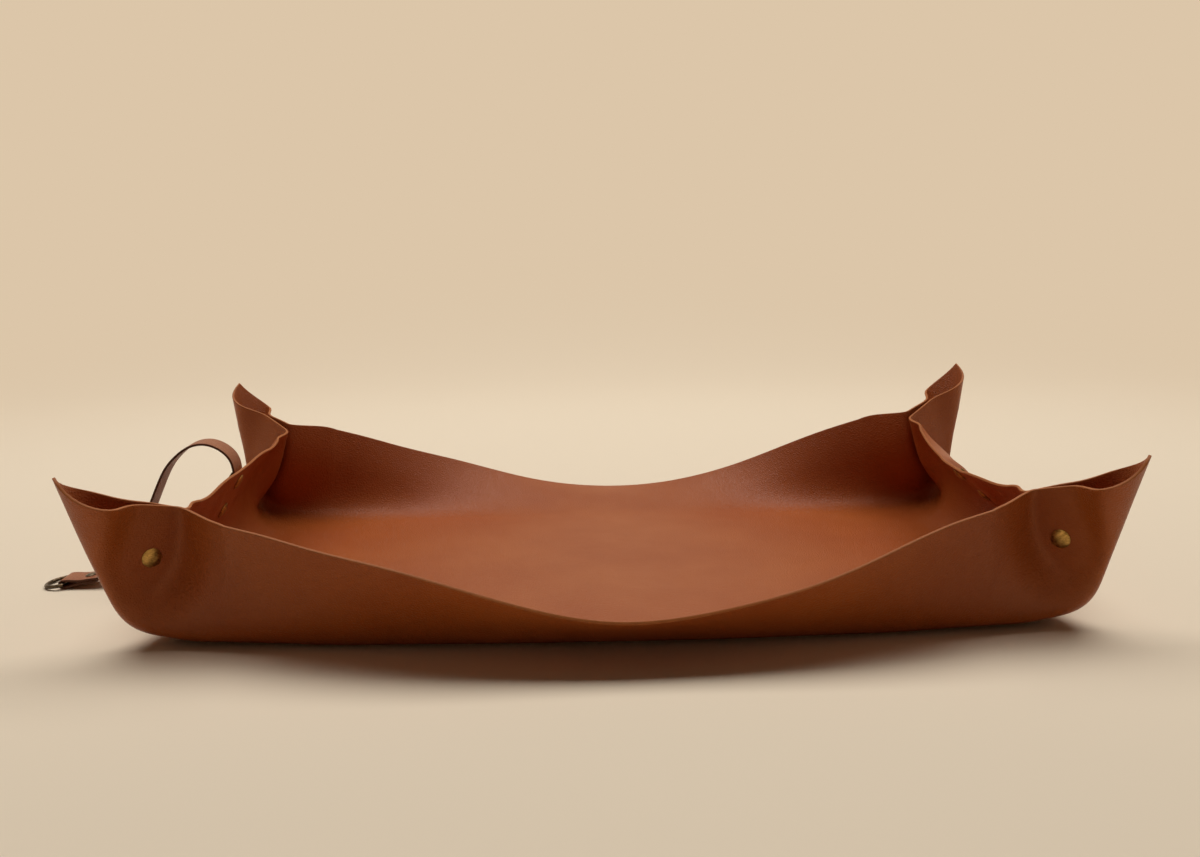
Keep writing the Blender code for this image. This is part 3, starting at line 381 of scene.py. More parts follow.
def waxed_leather(name, tone, deep, worn, grain_mm, patch_mm):
    """Waxed full-grain leather, dyed through. The wax gives a soft broad shine, the dye drifts in tone over
    hand-sized patches, and the grain is a net of cells between fine creases. Real grain is near 1 mm; it is
    drawn coarser, so that it shows."""
    made = bpy.data.materials.new(name)
    made.use_nodes = True
    shader = made.node_tree.nodes["Principled BSDF"]
    place = add_node(made, "ShaderNodeUVMap", {"uv_map": "UVMap"}).outputs["UV"]
    drift = add_node(made, "ShaderNodeTexNoise", inputs={
        "Vector": place, "Scale": 1000 / patch_mm, "Detail": 4.0, "Roughness": 0.55})
    fleck = add_node(made, "ShaderNodeTexNoise", inputs={
        "Vector": place, "Scale": 1000 / FLECK_MM, "Detail": 3.0})
    patches = add_node(made, "ShaderNodeMapRange", inputs={
        "Value": drift.outputs["Fac"], "From Min": 0.32, "From Max": 0.70})
    body = add_node(made, "ShaderNodeMix", {"data_type": "RGBA"}, {0: patches.outputs["Result"]})
    body.inputs[6].default_value = colour(deep)
    body.inputs[7].default_value = colour(tone)
    fleck_part = add_node(made, "ShaderNodeMapRange", inputs={
        "Value": fleck.outputs["Fac"], "From Min": 0.35, "From Max": 0.75, "To Max": 0.12})
    flecked = add_node(made, "ShaderNodeMix", {"data_type": "RGBA"},
                       {0: fleck_part.outputs["Result"], 6: body.outputs[2]})
    flecked.inputs[7].default_value = colour(worn)
    # The bend lightens the colour towards the worn tone: partly pull-up paling of stretched leather, partly a
    # painted highlight along folds, rim and snaps.
    pullup_and_highlight_attribute = add_node(made, "ShaderNodeAttribute", {"attribute_name": "bend"})
    pullup_and_highlight_part = add_node(made, "ShaderNodeMapRange", inputs={"Value": pullup_and_highlight_attribute.outputs["Fac"], "To Max": 0.25})
    pulled_and_highlighted = add_node(made, "ShaderNodeMix", {"data_type": "RGBA"},
                      {0: pullup_and_highlight_part.outputs["Result"], 6: flecked.outputs[2]})
    pulled_and_highlighted.inputs[7].default_value = colour(worn)
    made.node_tree.links.new(pulled_and_highlighted.outputs[2], shader.inputs["Base Color"])
    cells = add_node(made, "ShaderNodeTexVoronoi", {"feature": "DISTANCE_TO_EDGE"},
                     {"Vector": place, "Scale": 1000 / grain_mm, "Randomness": 0.9})
    cell_rise = add_node(made, "ShaderNodeMapRange", {"interpolation_type": "SMOOTHSTEP"},
                         {"Value": cells.outputs["Distance"], "From Max": 0.28})
    pores = add_node(made, "ShaderNodeTexNoise", inputs={
        "Vector": place, "Scale": 1000 / PORE_MM, "Detail": 2.0})
    height = add_node(made, "ShaderNodeMath", {"operation": "MULTIPLY_ADD"},
                      {0: cell_rise.outputs["Result"], 1: 0.7, 2: pores.outputs["Fac"]})
    bump = add_node(made, "ShaderNodeBump", inputs={
        "Height": height.outputs[0], "Strength": 0.7, "Distance": 0.0004})
    made.node_tree.links.new(bump.outputs["Normal"], shader.inputs["Normal"])
    shine = add_node(made, "ShaderNodeMapRange", inputs={
        "Value": drift.outputs["Fac"], "From Min": 0.3, "From Max": 0.7, "To Min": 0.42, "To Max": 0.34})
    made.node_tree.links.new(shine.outputs["Result"], shader.inputs["Roughness"])
    shader.inputs["IOR"].default_value = 1.5
    shader.inputs["Specular IOR Level"].default_value = 0.25
    return made


FIBRE_MM = 2.38


def burnished_edge(name, tone, deep):
    """The leather's cut edge, rubbed smooth: dull, and mottled by its fibres. The mottling is drawn coarser
    than it is, so that it shows."""
    made = bpy.data.materials.new(name)
    made.use_nodes = True
    shader = made.node_tree.nodes["Principled BSDF"]
    place = add_node(made, "ShaderNodeTexCoord").outputs["Object"]
    fibre = add_node(made, "ShaderNodeTexNoise", inputs={
        "Vector": place, "Scale": 1000 / FIBRE_MM, "Detail": 4.0})
    mixed = add_node(made, "ShaderNodeMix", {"data_type": "RGBA"}, {0: fibre.outputs["Fac"]})
    mixed.inputs[6].default_value = colour(deep)
    mixed.inputs[7].default_value = colour(tone)
    made.node_tree.links.new(mixed.outputs[2], shader.inputs["Base Color"])
    bump = add_node(made, "ShaderNodeBump", inputs={
        "Height": fibre.outputs["Fac"], "Strength": 0.4, "Distance": 0.0001})
    made.node_tree.links.new(bump.outputs["Normal"], shader.inputs["Normal"])
    shader.inputs["Roughness"].default_value = 0.55
    shader.inputs["Specular IOR Level"].default_value = 0.2
    return made


sheet_leather = waxed_leather("waxed_cognac_leather", "#a65521", "#984818", "#b2683b", 2.2, 110)
sheet_edge = burnished_edge("burnished_cut_edge", "#b26c3a", "#965528")
leather_sheet.data.materials.append(sheet_leather)
leather_sheet.data.materials.append(sheet_edge)
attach(leather_sheet, "tray")
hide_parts("tray_sheet")

# The snaps' caps.
# Pressed brass shells, 14.6 mm across, antiqued dark and brushed back so their domes show the brass. Each
# has a stem that runs through the leather and is flared inside its socket or stud. A gap keeps pieces apart.
GAP = 0.0003
CAP_RADIUS = 0.0073
CAP_HEIGHT = 0.0024
CAP_EDGE = 0.00045
WIDE_STEM = 0.0019
WIDE_FLARE = 0.0026
THIN_STEM = 0.0012
THIN_FLARE = 0.0017
FLARE = 0.0003
SOCKET_FLOOR = 0.0005
STUD_FLANGE = 0.0009
STUD_HEIGHT = 0.0018
STUD_RECESS = 0.0008
STRAP_THICKNESS = 0.0020
SIDES = 64
SHARP_FOLD = math.radians(40)


def frame_across(axis):
    """Two directions square to an axis and to each other: its crosses with the upright and with that."""
    side = np.cross(axis, (0, 0, 1.0))
    side /= np.linalg.norm(side)
    return side, np.cross(axis, side)


def turned_piece(name, profile, origin, axis, closed=False):
    """A profile of (radius, height) points turned about an axis: every point goes round it in a circle."""
    profile = np.array(profile)
    axis = np.array(axis) / np.linalg.norm(axis)
    side, other = frame_across(axis)
    angle = np.linspace(0, 2 * math.pi, SIDES, endpoint=False)[:, None, None]
    radius, height = profile[None, :, :1], profile[None, :, 1:]
    points = np.array(origin) + radius * (np.cos(angle) * side + np.sin(angle) * other) + height * axis
    length = np.concatenate([[0], np.cumsum(np.linalg.norm(np.diff(profile, axis=0), axis=1))])
    round_share = np.broadcast_to(angle[..., 0] / (2 * math.pi), points.shape[:2])
    uv = np.stack([round_share, np.broadcast_to(length[None, :], points.shape[:2])], -1)
    made = closed_mesh(name, points, uv, wrap_rows=closed)
    merge_doubles(made)
    made.data.set_sharp_from_angle(angle=SHARP_FOLD)
    return made


DOME_POWER = 2.6
ROLL_START, ROLL_END = 0.35, 0.95 * math.pi
DOME_POINTS, ROLL_POINTS = 22, 9


def dome_profile(radius, height, edge):
    """From the top's middle out: a dome that falls with a power of the distance from its middle, then a
    rolled edge, a part of a circle that turns under it."""
    across = np.linspace(0, 1, DOME_POINTS)
    dome = np.stack([across * (radius - 0.4 * edge), edge + (height - edge) * (1 - across ** DOME_POWER)], -1)
    roll = np.linspace(ROLL_START, ROLL_END, ROLL_POINTS)
    rolled = np.stack([radius - edge / 2 + edge / 2 * np.sin(roll), edge / 2 + edge / 2 * np.cos(roll)], -1)
    return np.concatenate([dome, rolled])


def cap_profile(stem, flare, end):
    """The domed shell, its underside, the stem and the flare at the stem's end."""
    shell = dome_profile(CAP_RADIUS, CAP_HEIGHT, CAP_EDGE) + (0, GAP)
    tail = [(stem, GAP), (stem, end), (flare, end), (flare, end - FLARE), (0, end - FLARE)]
    return np.concatenate([shell, tail])


CLOUD_MM = 3.33
BRUSH_STRETCH = (1.0, 1.0, 9.0)


def antique_brass(name, bright, dark, roughness, brush_mm):
    """Brass darkened in a bath and brushed back: a mottle of bright brass and dark patina with level brush
    lines, drawn coarser than they are, so that they show."""
    made = bpy.data.materials.new(name)
    made.use_nodes = True
    shader = made.node_tree.nodes["Principled BSDF"]
    place = add_node(made, "ShaderNodeTexCoord").outputs["Object"]
    stretch = add_node(made, "ShaderNodeMapping", inputs={"Vector": place, "Scale": BRUSH_STRETCH})
    brush = add_node(made, "ShaderNodeTexNoise", inputs={
        "Vector": stretch.outputs["Vector"], "Scale": 1000 / brush_mm, "Detail": 4.0})
    cloud = add_node(made, "ShaderNodeTexNoise", inputs={
        "Vector": place, "Scale": 1000 / CLOUD_MM, "Detail": 3.0})
    part = add_node(made, "ShaderNodeMath", {"operation": "MULTIPLY"},
                    {0: brush.outputs["Fac"], 1: cloud.outputs["Fac"]})
    spread = add_node(made, "ShaderNodeMapRange", inputs={
        "Value": part.outputs[0], "From Min": 0.12, "From Max": 0.36})
    tone = add_node(made, "ShaderNodeMix", {"data_type": "RGBA"}, {0: spread.outputs["Result"]})
    tone.inputs[6].default_value = colour(dark)
    tone.inputs[7].default_value = colour(bright)
    made.node_tree.links.new(tone.outputs[2], shader.inputs["Base Color"])
    worn = add_node(made, "ShaderNodeMapRange", inputs={
        "Value": brush.outputs["Fac"], "To Min": roughness + 0.1, "To Max": roughness - 0.08})
    made.node_tree.links.new(worn.outputs["Result"], shader.inputs["Roughness"])
    shader.inputs["Metallic"].default_value = 1.0
    return made


cap_brass = antique_brass("brushed_antique_brass", "#c69c58", "#664a24", 0.36, 2.0)
inner_brass = antique_brass("dark_antique_brass", "#8a6c3e", "#41301a", 0.42, 3.33)
# Where a stem ends, below the face that its cap lies on: the female halves' and the strap's inside a socket,
# the male halves' in a stud's recess.
stem_ends = {"female": -(LEATHER + GAP + SOCKET_FLOOR + GAP),
             "strap": -(LEATHER + STRAP_THICKNESS + GAP + GAP + SOCKET_FLOOR + GAP),
             "male": -(LEATHER + GAP + STUD_FLANGE + STUD_HEIGHT - STUD_RECESS + GAP)}
# Every snap half: its name, its centre in the leather, the way its cap or post faces, and its kind.
snaps = []
for (name, panel), (_, _, axis, centre, *_) in flat_spots.items():
    if name in CORNERS:
        outward, kind = (-axis, "female") if panel == "long" else (axis, "post")
        snaps.append((name, centre, outward, kind))
        continue
    up_wall = np.array([0, 0, 1.0]) - axis * axis[2]
    up_wall /= np.linalg.norm(up_wall)
    for height, from_edge in (("lower", LOWER_FROM_EDGE), ("upper", UPPER_FROM_EDGE)):
        kind = "male" if name == "right" else "strap" if height == "upper" else "female"
        snaps.append((name + "_" + height, centre + up_wall * (between - from_edge), -axis, kind))
for name, centre, outward, kind in snaps:
    if kind == "post":
        continue
    stem, flare = (THIN_STEM, THIN_FLARE) if kind == "male" else (WIDE_STEM, WIDE_FLARE)
    cap = turned_piece("snap_cap_" + name, cap_profile(stem, flare, stem_ends[kind]),
                       centre + outward * LEATHER / 2, outward)
    cap.data.materials.append(cap_brass)
    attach(cap, "tray")
    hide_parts("cap_" + name)

# The sockets and their springs.
# A socket is a pressed brass cup with a hole in its floor for the cap's stem. A ring of bright drawn steel
# wire lies in a groove inside its mouth and grips the stud's head.
SOCKET_RADIUS = 0.0062
SOCKET_DEPTH = 0.0026
SOCKET_LIP = 0.0004
SOCKET_BORE = 0.0031
GROOVE_RADIUS = 0.0036
GROOVE_START = 0.0017
GROOVE_END = 0.0027
SPRING_WIRE = 0.00025
SPRING_RADIUS = 0.00295
SOCKET_BEVEL = 0.0002
STREAK_MM = 1.11
inside = GAP + SOCKET_FLOOR
mouth = inside + SOCKET_DEPTH + SOCKET_LIP
hole = WIDE_STEM + GAP
lip = np.linspace(0, math.pi / 2, 8)[:, None]
LIP_ROUND = 0.0009
lip_centre = np.array([SOCKET_RADIUS - LIP_ROUND, mouth - LIP_ROUND])
# From the hole in the floor out, up over the rounded lip and down the bore with its groove.
socket_profile = np.concatenate([
    [(hole, GAP), (0.94 * SOCKET_RADIUS, GAP), (SOCKET_RADIUS, GAP + 0.2 * SOCKET_DEPTH)],
    lip_centre + LIP_ROUND * np.concatenate([np.cos(lip), np.sin(lip)], axis=1),
    [(SOCKET_BORE + SOCKET_BEVEL, mouth), (SOCKET_BORE, mouth - SOCKET_BEVEL),
     (SOCKET_BORE, inside + GROOVE_END), (GROOVE_RADIUS, inside + GROOVE_END),
     (GROOVE_RADIUS, inside + GROOVE_START), (SOCKET_BORE, inside + GROOVE_START),
     (SOCKET_BORE, inside), (hole, inside)]])
wire = np.linspace(0, 2 * math.pi, 12, endpoint=False)
spring_profile = np.stack([SPRING_RADIUS + SPRING_WIRE * np.cos(wire),
                           inside + (GROOVE_START + GROOVE_END) / 2 + SPRING_WIRE * np.sin(wire)], -1)
spring_steel = bpy.data.materials.new("drawn_spring_steel")
spring_steel.use_nodes = True
spring_shader = spring_steel.node_tree.nodes["Principled BSDF"]
spring_place = add_node(spring_steel, "ShaderNodeTexCoord").outputs["Object"]
streak = add_node(spring_steel, "ShaderNodeTexNoise", inputs={
    "Vector": spring_place, "Scale": 1000 / STREAK_MM})
spring_tone = add_node(spring_steel, "ShaderNodeMix", {"data_type": "RGBA"}, {0: streak.outputs["Fac"]})
spring_tone.inputs[6].default_value = colour("#8d8c88")
spring_tone.inputs[7].default_value = colour("#b9b8b3")
spring_steel.node_tree.links.new(spring_tone.outputs[2], spring_shader.inputs["Base Color"])
spring_shader.inputs["Metallic"].default_value = 1.0
spring_shader.inputs["Roughness"].default_value = 0.3
for name, centre, outward, kind in snaps:
    if kind not in ("female", "strap"):
        continue
    layers = LEATHER / 2 + (STRAP_THICKNESS + GAP if kind == "strap" else 0)
    seat = centre - outward * layers
    socket = turned_piece("snap_socket_" + name, socket_profile, seat, -outward, closed=True)
    socket.data.materials.append(inner_brass)
    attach(socket, "tray")
    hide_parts("socket_" + name)
    spring = turned_piece("snap_spring_" + name, spring_profile, seat, -outward, closed=True)
    spring.data.materials.append(spring_steel)
    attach(spring, "tray")
    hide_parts("spring_" + name)

# The studs and their posts.
# A stud is a brass flange with a necked nub that clicks into a socket. At the corners a low post behind the
# leather holds it; at the right end wall a cap does.
STUD_RADIUS = 0.0056
STUD_HEAD = 0.0006
STUD_HEAD_RADIUS = 0.0028
STUD_NECK = 0.0023
STUD_RECESS_RADIUS = 0.0021
POST_RADIUS = 0.0052
POST_HEIGHT = 0.0010
POST_EDGE = 0.0004
NECK_FILLET = 0.0003
top = GAP + STUD_FLANGE
tip = top + STUD_HEIGHT
bore = THIN_STEM + GAP
bulge = np.linspace(-math.pi / 2, math.pi / 2, 9)
# The flange with its rounded edge, the neck, the head's half round and the recess in its top.
stud_profile = np.concatenate([
    [(bore, GAP), (STUD_RADIUS, GAP), (STUD_RADIUS, top - 0.5 * STUD_FLANGE),
     (0.94 * STUD_RADIUS, top - 0.08 * STUD_FLANGE), (0.88 * STUD_RADIUS, top),
     (STUD_NECK + NECK_FILLET, top), (STUD_NECK, top + NECK_FILLET), (STUD_NECK, tip - STUD_HEAD)],
    np.stack([STUD_NECK + (STUD_HEAD_RADIUS - STUD_NECK) * np.cos(bulge),
              tip - STUD_HEAD / 2 + STUD_HEAD / 2 * np.sin(bulge)], -1),
    [(STUD_RECESS_RADIUS, tip), (STUD_RECESS_RADIUS, tip - STUD_RECESS), (bore, tip - STUD_RECESS)]])
post_profile = np.concatenate([
    dome_profile(POST_RADIUS, POST_HEIGHT, POST_EDGE) + (0, GAP),
    [(THIN_STEM, GAP), (THIN_STEM, stem_ends["male"]), (THIN_FLARE, stem_ends["male"]),
     (THIN_FLARE, stem_ends["male"] - FLARE), (0, stem_ends["male"] - FLARE)]])
for name, centre, outward, kind in snaps:
    if kind not in ("post", "male"):
        continue
    half = outward * LEATHER / 2
    stud = turned_piece("snap_stud_" + name, stud_profile, centre - half, -outward, closed=True)
    made = [(stud, "stud_")]
    if kind == "post":
        made.append((turned_piece("snap_post_" + name, post_profile, centre + half, outward), "post_"))
    for piece, node in made:
        piece.data.materials.append(inner_brass)
        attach(piece, "tray")
        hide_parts(node + name)

# The strap.
# A strip of the same leather, 25 mm wide and 2 mm thick. The left end wall's upper snap runs through its
# tail; it arches over, comes down beside the near ear and is folded back round the ring's bar.
STRAP_LENGTH = 0.220
STRAP_WIDTH = 0.025
STRAP_TAIL = 0.011
TAIL_SHARES = np.array([[-1.0], [-0.5], [0.0], [0.5]])
STRAP_CORNER = 0.00045
STRAP_COLUMNS, CORNER_ROWS = 380, 5
STRAP_SHARP_FOLD = math.radians(50)
# The burnished edge starts this far into a corner's round.
EDGE_SHARE = 0.9
RING_WIRE = 0.0016
RING_PLAY = 0.0004
# The bar's place from the snap, then the arch's points, as shares of the strap's length.
RING_FROM_SNAP_SHARES = np.array([-0.654, -0.107])
RIVET_FROM_BAR = 0.0205
RIVET_FLAT = 0.0056
FOLD_END = 0.0080
FOLD_RISE = math.radians(7.0)
STRAP_ARCH_SHARES = [
    (0.014, 0.000, 0.042),
    (0.002, 0.000, 0.090),
    (-0.036, 0.000, 0.131),
    (-0.100, 0.000, 0.154),
    (-0.155, 0.000, 0.144),
    (-0.199, 0.000, 0.116),
    (-0.246, 0.000, 0.068),
    (-0.287, 0.000, -0.005),
]
# Points of the fall, as shares of the way from the snap to where the fold starts.
STRAP_FALL_SHARES = np.array([
    (0.640, 0.047, 0.302),
    (0.757, 0.328, 0.661),
    (0.907, 0.749, 0.905),
])
_, strap_snap, strap_inward, _ = [snap for snap in snaps if snap[3] == "strap"][0]
wall_out = -strap_inward
wall_up = np.array([0, 0, 1.0]) - wall_out * wall_out[2]
wall_up /= np.linalg.norm(wall_up)
strap_seat = strap_snap + wall_out * (LEATHER / 2 + GAP + STRAP_THICKNESS / 2)
bar_height = GAP + STRAP_THICKNESS + RING_PLAY + RING_WIRE
bar = np.array([*(strap_snap[:2] + STRAP_LENGTH * RING_FROM_SNAP_SHARES), bar_height])
fold_way = np.array([math.cos(FOLD_RISE), 0, math.sin(FOLD_RISE)])
fold_up = np.array([-fold_way[2], 0, fold_way[0]])
layer = (STRAP_THICKNESS + GAP) / 2
bend_radius = RING_WIRE + RING_PLAY + STRAP_THICKNESS / 2
slope = math.asin((bend_radius - layer) / (RIVET_FROM_BAR - RIVET_FLAT))
flat_run = RIVET_FROM_BAR + np.array([FOLD_END, RIVET_FLAT, 0, -RIVET_FLAT])
fold_turn = (math.pi / 2 - slope + (math.pi + 2 * slope) * np.linspace(0, 1, 9))[:, None]
strap_knots = np.concatenate([
    strap_seat + wall_up * STRAP_TAIL * TAIL_SHARES,
    strap_seat + STRAP_LENGTH * np.array(STRAP_ARCH_SHARES),
    strap_seat + STRAP_FALL_SHARES * (bar + flat_run[0] * fold_way + layer * fold_up - strap_seat),
    bar + flat_run[:, None] * fold_way + layer * fold_up,
    bar + bend_radius * (np.cos(fold_turn) * fold_way + np.sin(fold_turn) * fold_up),
    bar + flat_run[::-1, None] * fold_way - layer * fold_up])
knot_places = np.concatenate([[0], np.cumsum(np.linalg.norm(np.diff(strap_knots, axis=0), axis=1))])
knot_slopes = slopes_through(knot_places, strap_knots, wall_up)
strap_places = np.linspace(0, knot_places[-1], STRAP_COLUMNS)
strap_line = along_curve(knot_places, strap_knots, knot_slopes, strap_places)
strap_heading = np.gradient(strap_line, strap_places, axis=0)
strap_heading /= np.linalg.norm(strap_heading, axis=1)[:, None]
strap_across = np.array([0, 1.0, 0]) - strap_heading * strap_heading[:, 1:2]
strap_across /= np.linalg.norm(strap_across, axis=1)[:, None]
strap_face = np.cross(strap_heading, strap_across)


def rounded_strip(width, thickness, corner, rows):
    """The outline of a flat strip, as (across, out) points all the way round: a quarter circle at each of
    its four corners, joined by straight lines."""
    turns = np.linspace(0, math.pi / 2, rows)
    outline = []
    for quarter, (across, out) in enumerate([(1, 1), (-1, 1), (-1, -1), (1, -1)]):
        angle = turns + quarter * math.pi / 2
        outline.append(np.stack([across * (width / 2 - corner) + corner * np.cos(angle),
                                 out * (thickness / 2 - corner) + corner * np.sin(angle)], -1))
    return np.concatenate(outline)


outline = rounded_strip(STRAP_WIDTH, STRAP_THICKNESS, STRAP_CORNER, CORNER_ROWS)
strap_body = (strap_line[:, None] + outline[None, :, :1] * strap_across[:, None]
              + outline[None, :, 1:] * strap_face[:, None])
ends = [strap_line[:1, None].repeat(len(outline), 1), strap_line[-1:, None].repeat(len(outline), 1)]
strap_points = np.concatenate([ends[0], strap_body, ends[1]], axis=0)
outline_length = np.concatenate([[0], np.cumsum(np.linalg.norm(np.diff(outline, axis=0), axis=1))])
strap_runs = np.concatenate([[0], strap_places, strap_places[-1:]])
STRAP_UV_STEP = (5.0, 0.3)
strap_uv = np.stack(np.meshgrid(strap_runs, outline_length, indexing="ij"), -1) + STRAP_UV_STEP
side_of = np.abs(outline[:, 0]) > STRAP_WIDTH / 2 - STRAP_CORNER * EDGE_SHARE
is_edge = side_of & np.roll(side_of, -1)
strap_piece = closed_mesh("leather_strap", strap_points.transpose(1, 0, 2), strap_uv.transpose(1, 0, 2),
                          is_edge.astype(int)[:, None])
merge_doubles(strap_piece)
strap_piece.data.set_sharp_from_angle(angle=STRAP_SHARP_FOLD)
strap_leather = waxed_leather("waxed_strap_leather", "#9f5a33", "#8a4826", "#b07650", 1.3, 50)
# The strap's cut edge is dark partly from its burnish and partly as painted shade, where the edge turns away
# from the light.
strap_edge_with_painted_shade = burnished_edge("burnished_strap_edge_and_painted_shade", "#5c341e", "#422413")
strap_piece.data.materials.append(strap_leather)
strap_piece.data.materials.append(strap_edge_with_painted_shade)
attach(strap_piece, "strap_body")
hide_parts("strap")

# The rivet.
# A double-cap rivet closes the fold: a low domed cap above and below, hammered together through a hole.
RIVET_RADIUS = 0.0048
RIVET_HEIGHT = 0.0014
RIVET_EDGE = 0.0004
RIVET_STEM = 0.0015
rivet_place = bar + fold_way * RIVET_FROM_BAR
both_layers = 2 * STRAP_THICKNESS + GAP
rivet_profile = np.concatenate([
    dome_profile(RIVET_RADIUS, RIVET_HEIGHT, RIVET_EDGE) + (0, GAP),
    [(RIVET_STEM, GAP), (RIVET_STEM, -(both_layers - GAP) / 2), (0, -(both_layers - GAP) / 2)]])
gunmetal = antique_brass("dark_antique_gunmetal", "#6b5c4a", "#2b241c", 0.33, 3.85)
for node, way in (("rivet_cap", fold_up), ("rivet_base", -fold_up)):
    rivet = turned_piece("fold_" + node, rivet_profile, rivet_place + way * both_layers / 2, way)
    rivet.data.materials.append(gunmetal)
    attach(rivet, "strap_body")
    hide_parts(node)

# The D-ring.
# Bent from 3.2 mm wire, closed and plated dark: a straight bar held in the strap's fold, and a round bow that
# droops to the floor.
RING_INNER_WIDTH = 0.0265
RING_DEPTH = 0.0180
BOW_POWER = 0.75
BOW_COLUMNS, BAR_COLUMNS, CORNER_COLUMNS, WIRE_SIDES = 90, 24, 8, 20
half_bar = RING_INNER_WIDTH / 2 + RING_WIRE
ring_corner = 1.5 * RING_WIRE
# The wire's middle: a bow that rises with a power of the sine, a quarter circle, the bar, a quarter circle.
bow_angle = np.linspace(0, math.pi, BOW_COLUMNS)
bow = np.maximum(np.sin(bow_angle), 0) ** BOW_POWER
corner_turn = np.linspace(0, math.pi / 2, CORNER_COLUMNS + 2)[1:-1]
bow_line = np.stack([ring_corner + (RING_DEPTH - ring_corner) * bow, half_bar * np.cos(bow_angle)], -1)
low_corner = np.stack([ring_corner * (1 - np.sin(corner_turn)),
                       -(half_bar - ring_corner + ring_corner * np.cos(corner_turn))], -1)
bar_share = np.linspace(-1, 1, BAR_COLUMNS)
bar_line = np.stack([0 * bar_share, bar_share * (half_bar - ring_corner)], -1)
high_corner = np.stack([low_corner[::-1, 0], -low_corner[::-1, 1]], -1)
ring_line = np.concatenate([bow_line, low_corner, bar_line, high_corner])
droop = math.asin((bar[2] - RING_WIRE - GAP / 3) / RING_DEPTH)
bow_way = np.array([-math.cos(droop), 0, -math.sin(droop)])
ring_square = np.cross((0, 1.0, 0), bow_way)
ring_centre = bar + ring_line[:, :1] * bow_way + ring_line[:, 1:] * np.array([0, 1.0, 0])
ring_heading = np.roll(ring_centre, -1, axis=0) - np.roll(ring_centre, 1, axis=0)
ring_out = np.cross(ring_heading, ring_square)
ring_out /= np.linalg.norm(ring_out, axis=1)[:, None]
tube = np.linspace(0, 2 * math.pi, WIRE_SIDES, endpoint=False)[None, :, None]
tube_way = np.cos(tube) * ring_out[:, None] + np.sin(tube) * ring_square
ring_points = ring_centre[:, None] + RING_WIRE * tube_way
ring_uv = np.zeros(ring_points.shape[:2] + (2,))
d_ring = closed_mesh("ring_of_wire", ring_points, ring_uv, wrap_rows=True)
merge_doubles(d_ring)
d_ring.data.materials.append(gunmetal)
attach(d_ring, "ring_body")
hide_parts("d_ring")

# The studio.
# A pale warm paper lies under the tray and sweeps up behind it. One large soft light hangs over the tray, a
# little behind it.
SWEEP_NEAR = -4.0
SWEEP_START = 1.1
SWEEP_RADIUS = 1.6
SWEEP_TURN = 1.3
SWEEP_HALF_WIDTH = 5.0
FLOOR_ROWS, BEND_ROWS, SWEEP_COLUMNS = 20, 30, 12
sweep_turn = np.linspace(0, SWEEP_TURN, BEND_ROWS)[1:]
floor_line = np.append(SWEEP_NEAR, np.linspace(SWEEP_NEAR + 1, SWEEP_START, FLOOR_ROWS))
bend_line = SWEEP_RADIUS * np.stack([np.sin(sweep_turn), 1 - np.cos(sweep_turn)], -1) + (SWEEP_START, 0)
sweep_line = np.concatenate([np.stack([floor_line, 0 * floor_line], -1), bend_line])
rows = len(sweep_line)
sweep_grid = np.empty((SWEEP_COLUMNS, rows, 3))
sweep_grid[..., 0] = np.linspace(-SWEEP_HALF_WIDTH, SWEEP_HALF_WIDTH, SWEEP_COLUMNS)[:, None]
sweep_grid[..., 1:] = sweep_line
column, row = np.meshgrid(np.arange(SWEEP_COLUMNS - 1), np.arange(rows - 1), indexing="ij")
here, after = column * rows + row, (column + 1) * rows + row
sweep_faces = np.stack([here, after, after + 1, here + 1], -1).reshape(-1, 4)
sweep_mesh = bpy.data.meshes.new("paper_sweep")
sweep_mesh.from_pydata(sweep_grid.reshape(-1, 3), [], sweep_faces)
sweep_mesh.polygons.foreach_set("use_smooth", np.ones(len(sweep_faces), dtype=bool))
sweep = bpy.data.objects.new("paper_sweep", sweep_mesh)
bpy.context.collection.objects.link(sweep)


def looking_ray(owner):
    """1 for a ray from the eye, off a gloss or through glass, and 0 for those that light the object."""
    ray = add_node(owner, "ShaderNodeLightPath").outputs
    seen = add_node(owner, "ShaderNodeMath", {"operation": "MAXIMUM"},
                    {0: ray["Is Camera Ray"], 1: ray["Is Glossy Ray"]})
    return add_node(owner, "ShaderNodeMath", {"operation": "MAXIMUM"},
                    {0: seen.outputs[0], 1: ray["Is Transmission Ray"]}).outputs[0]


# Matt paper. Close to the tray it is lit as it is, and holds the shadow. Further off it shows its own pale
# tone to the eye and to what shines, as the room does, so the ground is even from every side.
FAR_TONE = "#dcc6a9"
FADE_START = 0.7
FADE_END = 1.9
paper = bpy.data.materials.new("matt_paper")
paper.use_nodes = True
paper_shader = paper.node_tree.nodes["Principled BSDF"]
paper_shader.inputs["Base Color"].default_value = colour("#f0e2ca")
paper_shader.inputs["Roughness"].default_value = 0.9
paper_place = add_node(paper, "ShaderNodeTexCoord").outputs["Object"]
paper_far = add_node(paper, "ShaderNodeVectorMath", {"operation": "LENGTH"}, {0: paper_place})
paper_fade = add_node(paper, "ShaderNodeMapRange", {"interpolation_type": "SMOOTHSTEP"}, {
    "Value": paper_far.outputs["Value"], "From Min": FADE_START, "From Max": FADE_END})
far_part = add_node(paper, "ShaderNodeMath", {"operation": "MULTIPLY"},
                    {0: paper_fade.outputs["Result"], 1: looking_ray(paper)})
far_glow = add_node(paper, "ShaderNodeEmission", inputs={"Color": colour(FAR_TONE)})
paper_mix = add_node(paper, "ShaderNodeMixShader", inputs={
    0: far_part.outputs[0], 1: paper_shader.outputs[0], 2: far_glow.outputs[0]})
paper_output = paper.node_tree.nodes["Material Output"]
paper.node_tree.links.new(paper_mix.outputs[0], paper_output.inputs["Surface"])
sweep_mesh.materials.append(paper)

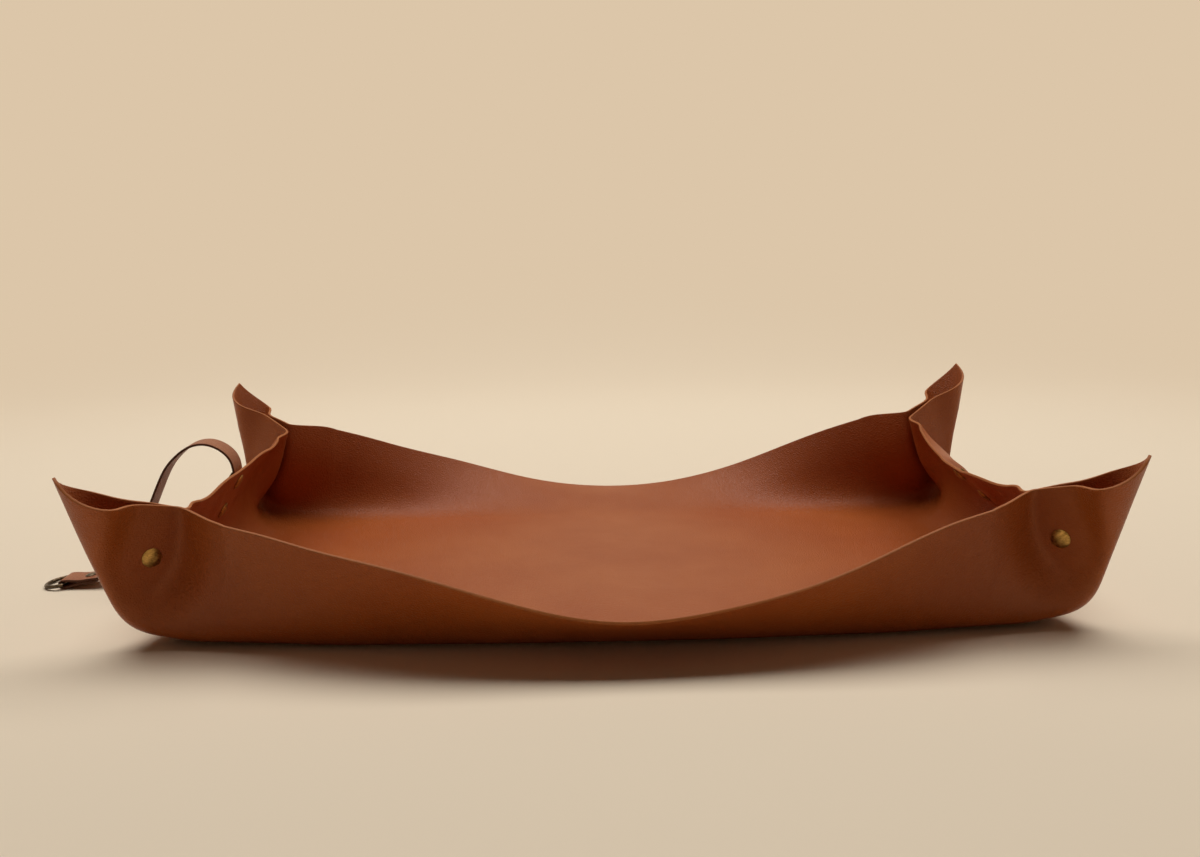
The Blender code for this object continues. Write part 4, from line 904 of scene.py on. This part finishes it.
# One wide soft light, 3 m up. It faces the tray.
LIGHT_PLACE = np.array([0.0, 0.85, 3.0])
LIGHT_TARGET = np.array([0.0, 0.05, 0.0])
LIGHT_WIDTH, LIGHT_DEPTH = 5.0, 2.2
LIGHT_POWER = 113.0
lamp = bpy.data.lights.new("overhead_light", "AREA")
lamp.shape = "RECTANGLE"
lamp.size, lamp.size_y = LIGHT_WIDTH, LIGHT_DEPTH
lamp.energy = LIGHT_POWER
lamp.color = colour("#fffaf6")[:3]
light = bpy.data.objects.new("overhead_light", lamp)
bpy.context.collection.objects.link(light)
light.location = LIGHT_PLACE
light_way = LIGHT_TARGET - LIGHT_PLACE
light_tilt = math.atan2(math.hypot(light_way[0], light_way[1]), -light_way[2])
light.rotation_euler = (light_tilt, 0, math.atan2(-light_way[0], light_way[1]))

# The room round the paper: its pale tone where it is looked at, and a faint light from all round.
ROOM_LIGHT = 0.06
world = bpy.data.worlds.new("room")
world.use_nodes = True
room = world.node_tree.nodes["Background"]
room.inputs["Color"].default_value = colour(FAR_TONE)
room_level = add_node(world, "ShaderNodeMapRange", inputs={"Value": looking_ray(world), "To Min": ROOM_LIGHT})
world.node_tree.links.new(room_level.outputs["Result"], room.inputs["Strength"])
bpy.context.scene.world = world
bpy.context.scene.view_settings.view_transform = "Standard"

# The camera.
# It stands where the photograph was taken from, about 0.8 m off the near side and 0.3 m up. Its lens and
# place are fitted to the rims, ears and caps in the photograph.
FRAME_PIXELS = 1200
FOCAL_PIXELS = 1237.7
SENSOR_WIDTH = 36.0
CAMERA_YAW, CAMERA_PITCH, CAMERA_ROLL = -0.02002, 0.17072, -0.01538
CAMERA_PLACE = (-0.0243, -1.06684, 0.30897)
camera_data = bpy.data.cameras.new("camera")
camera_data.sensor_width = SENSOR_WIDTH
camera_data.lens = SENSOR_WIDTH * FOCAL_PIXELS / FRAME_PIXELS
camera = bpy.data.objects.new("camera", camera_data)
bpy.context.collection.objects.link(camera)
ahead = np.array([-math.sin(CAMERA_YAW), math.cos(CAMERA_YAW), 0.0])
forward = ahead * math.cos(CAMERA_PITCH) - np.array([0, 0, math.sin(CAMERA_PITCH)])
level = np.array([math.cos(CAMERA_YAW), math.sin(CAMERA_YAW), 0.0])
upright = np.cross(level, forward)
camera_right = level * math.cos(CAMERA_ROLL) + upright * math.sin(CAMERA_ROLL)
camera_up = -level * math.sin(CAMERA_ROLL) + upright * math.cos(CAMERA_ROLL)
pose = np.eye(4)
pose[:3] = np.stack([camera_right, camera_up, -forward, CAMERA_PLACE], -1)
camera.matrix_world = mathutils.Matrix(pose.tolist())
bpy.context.scene.camera = camera
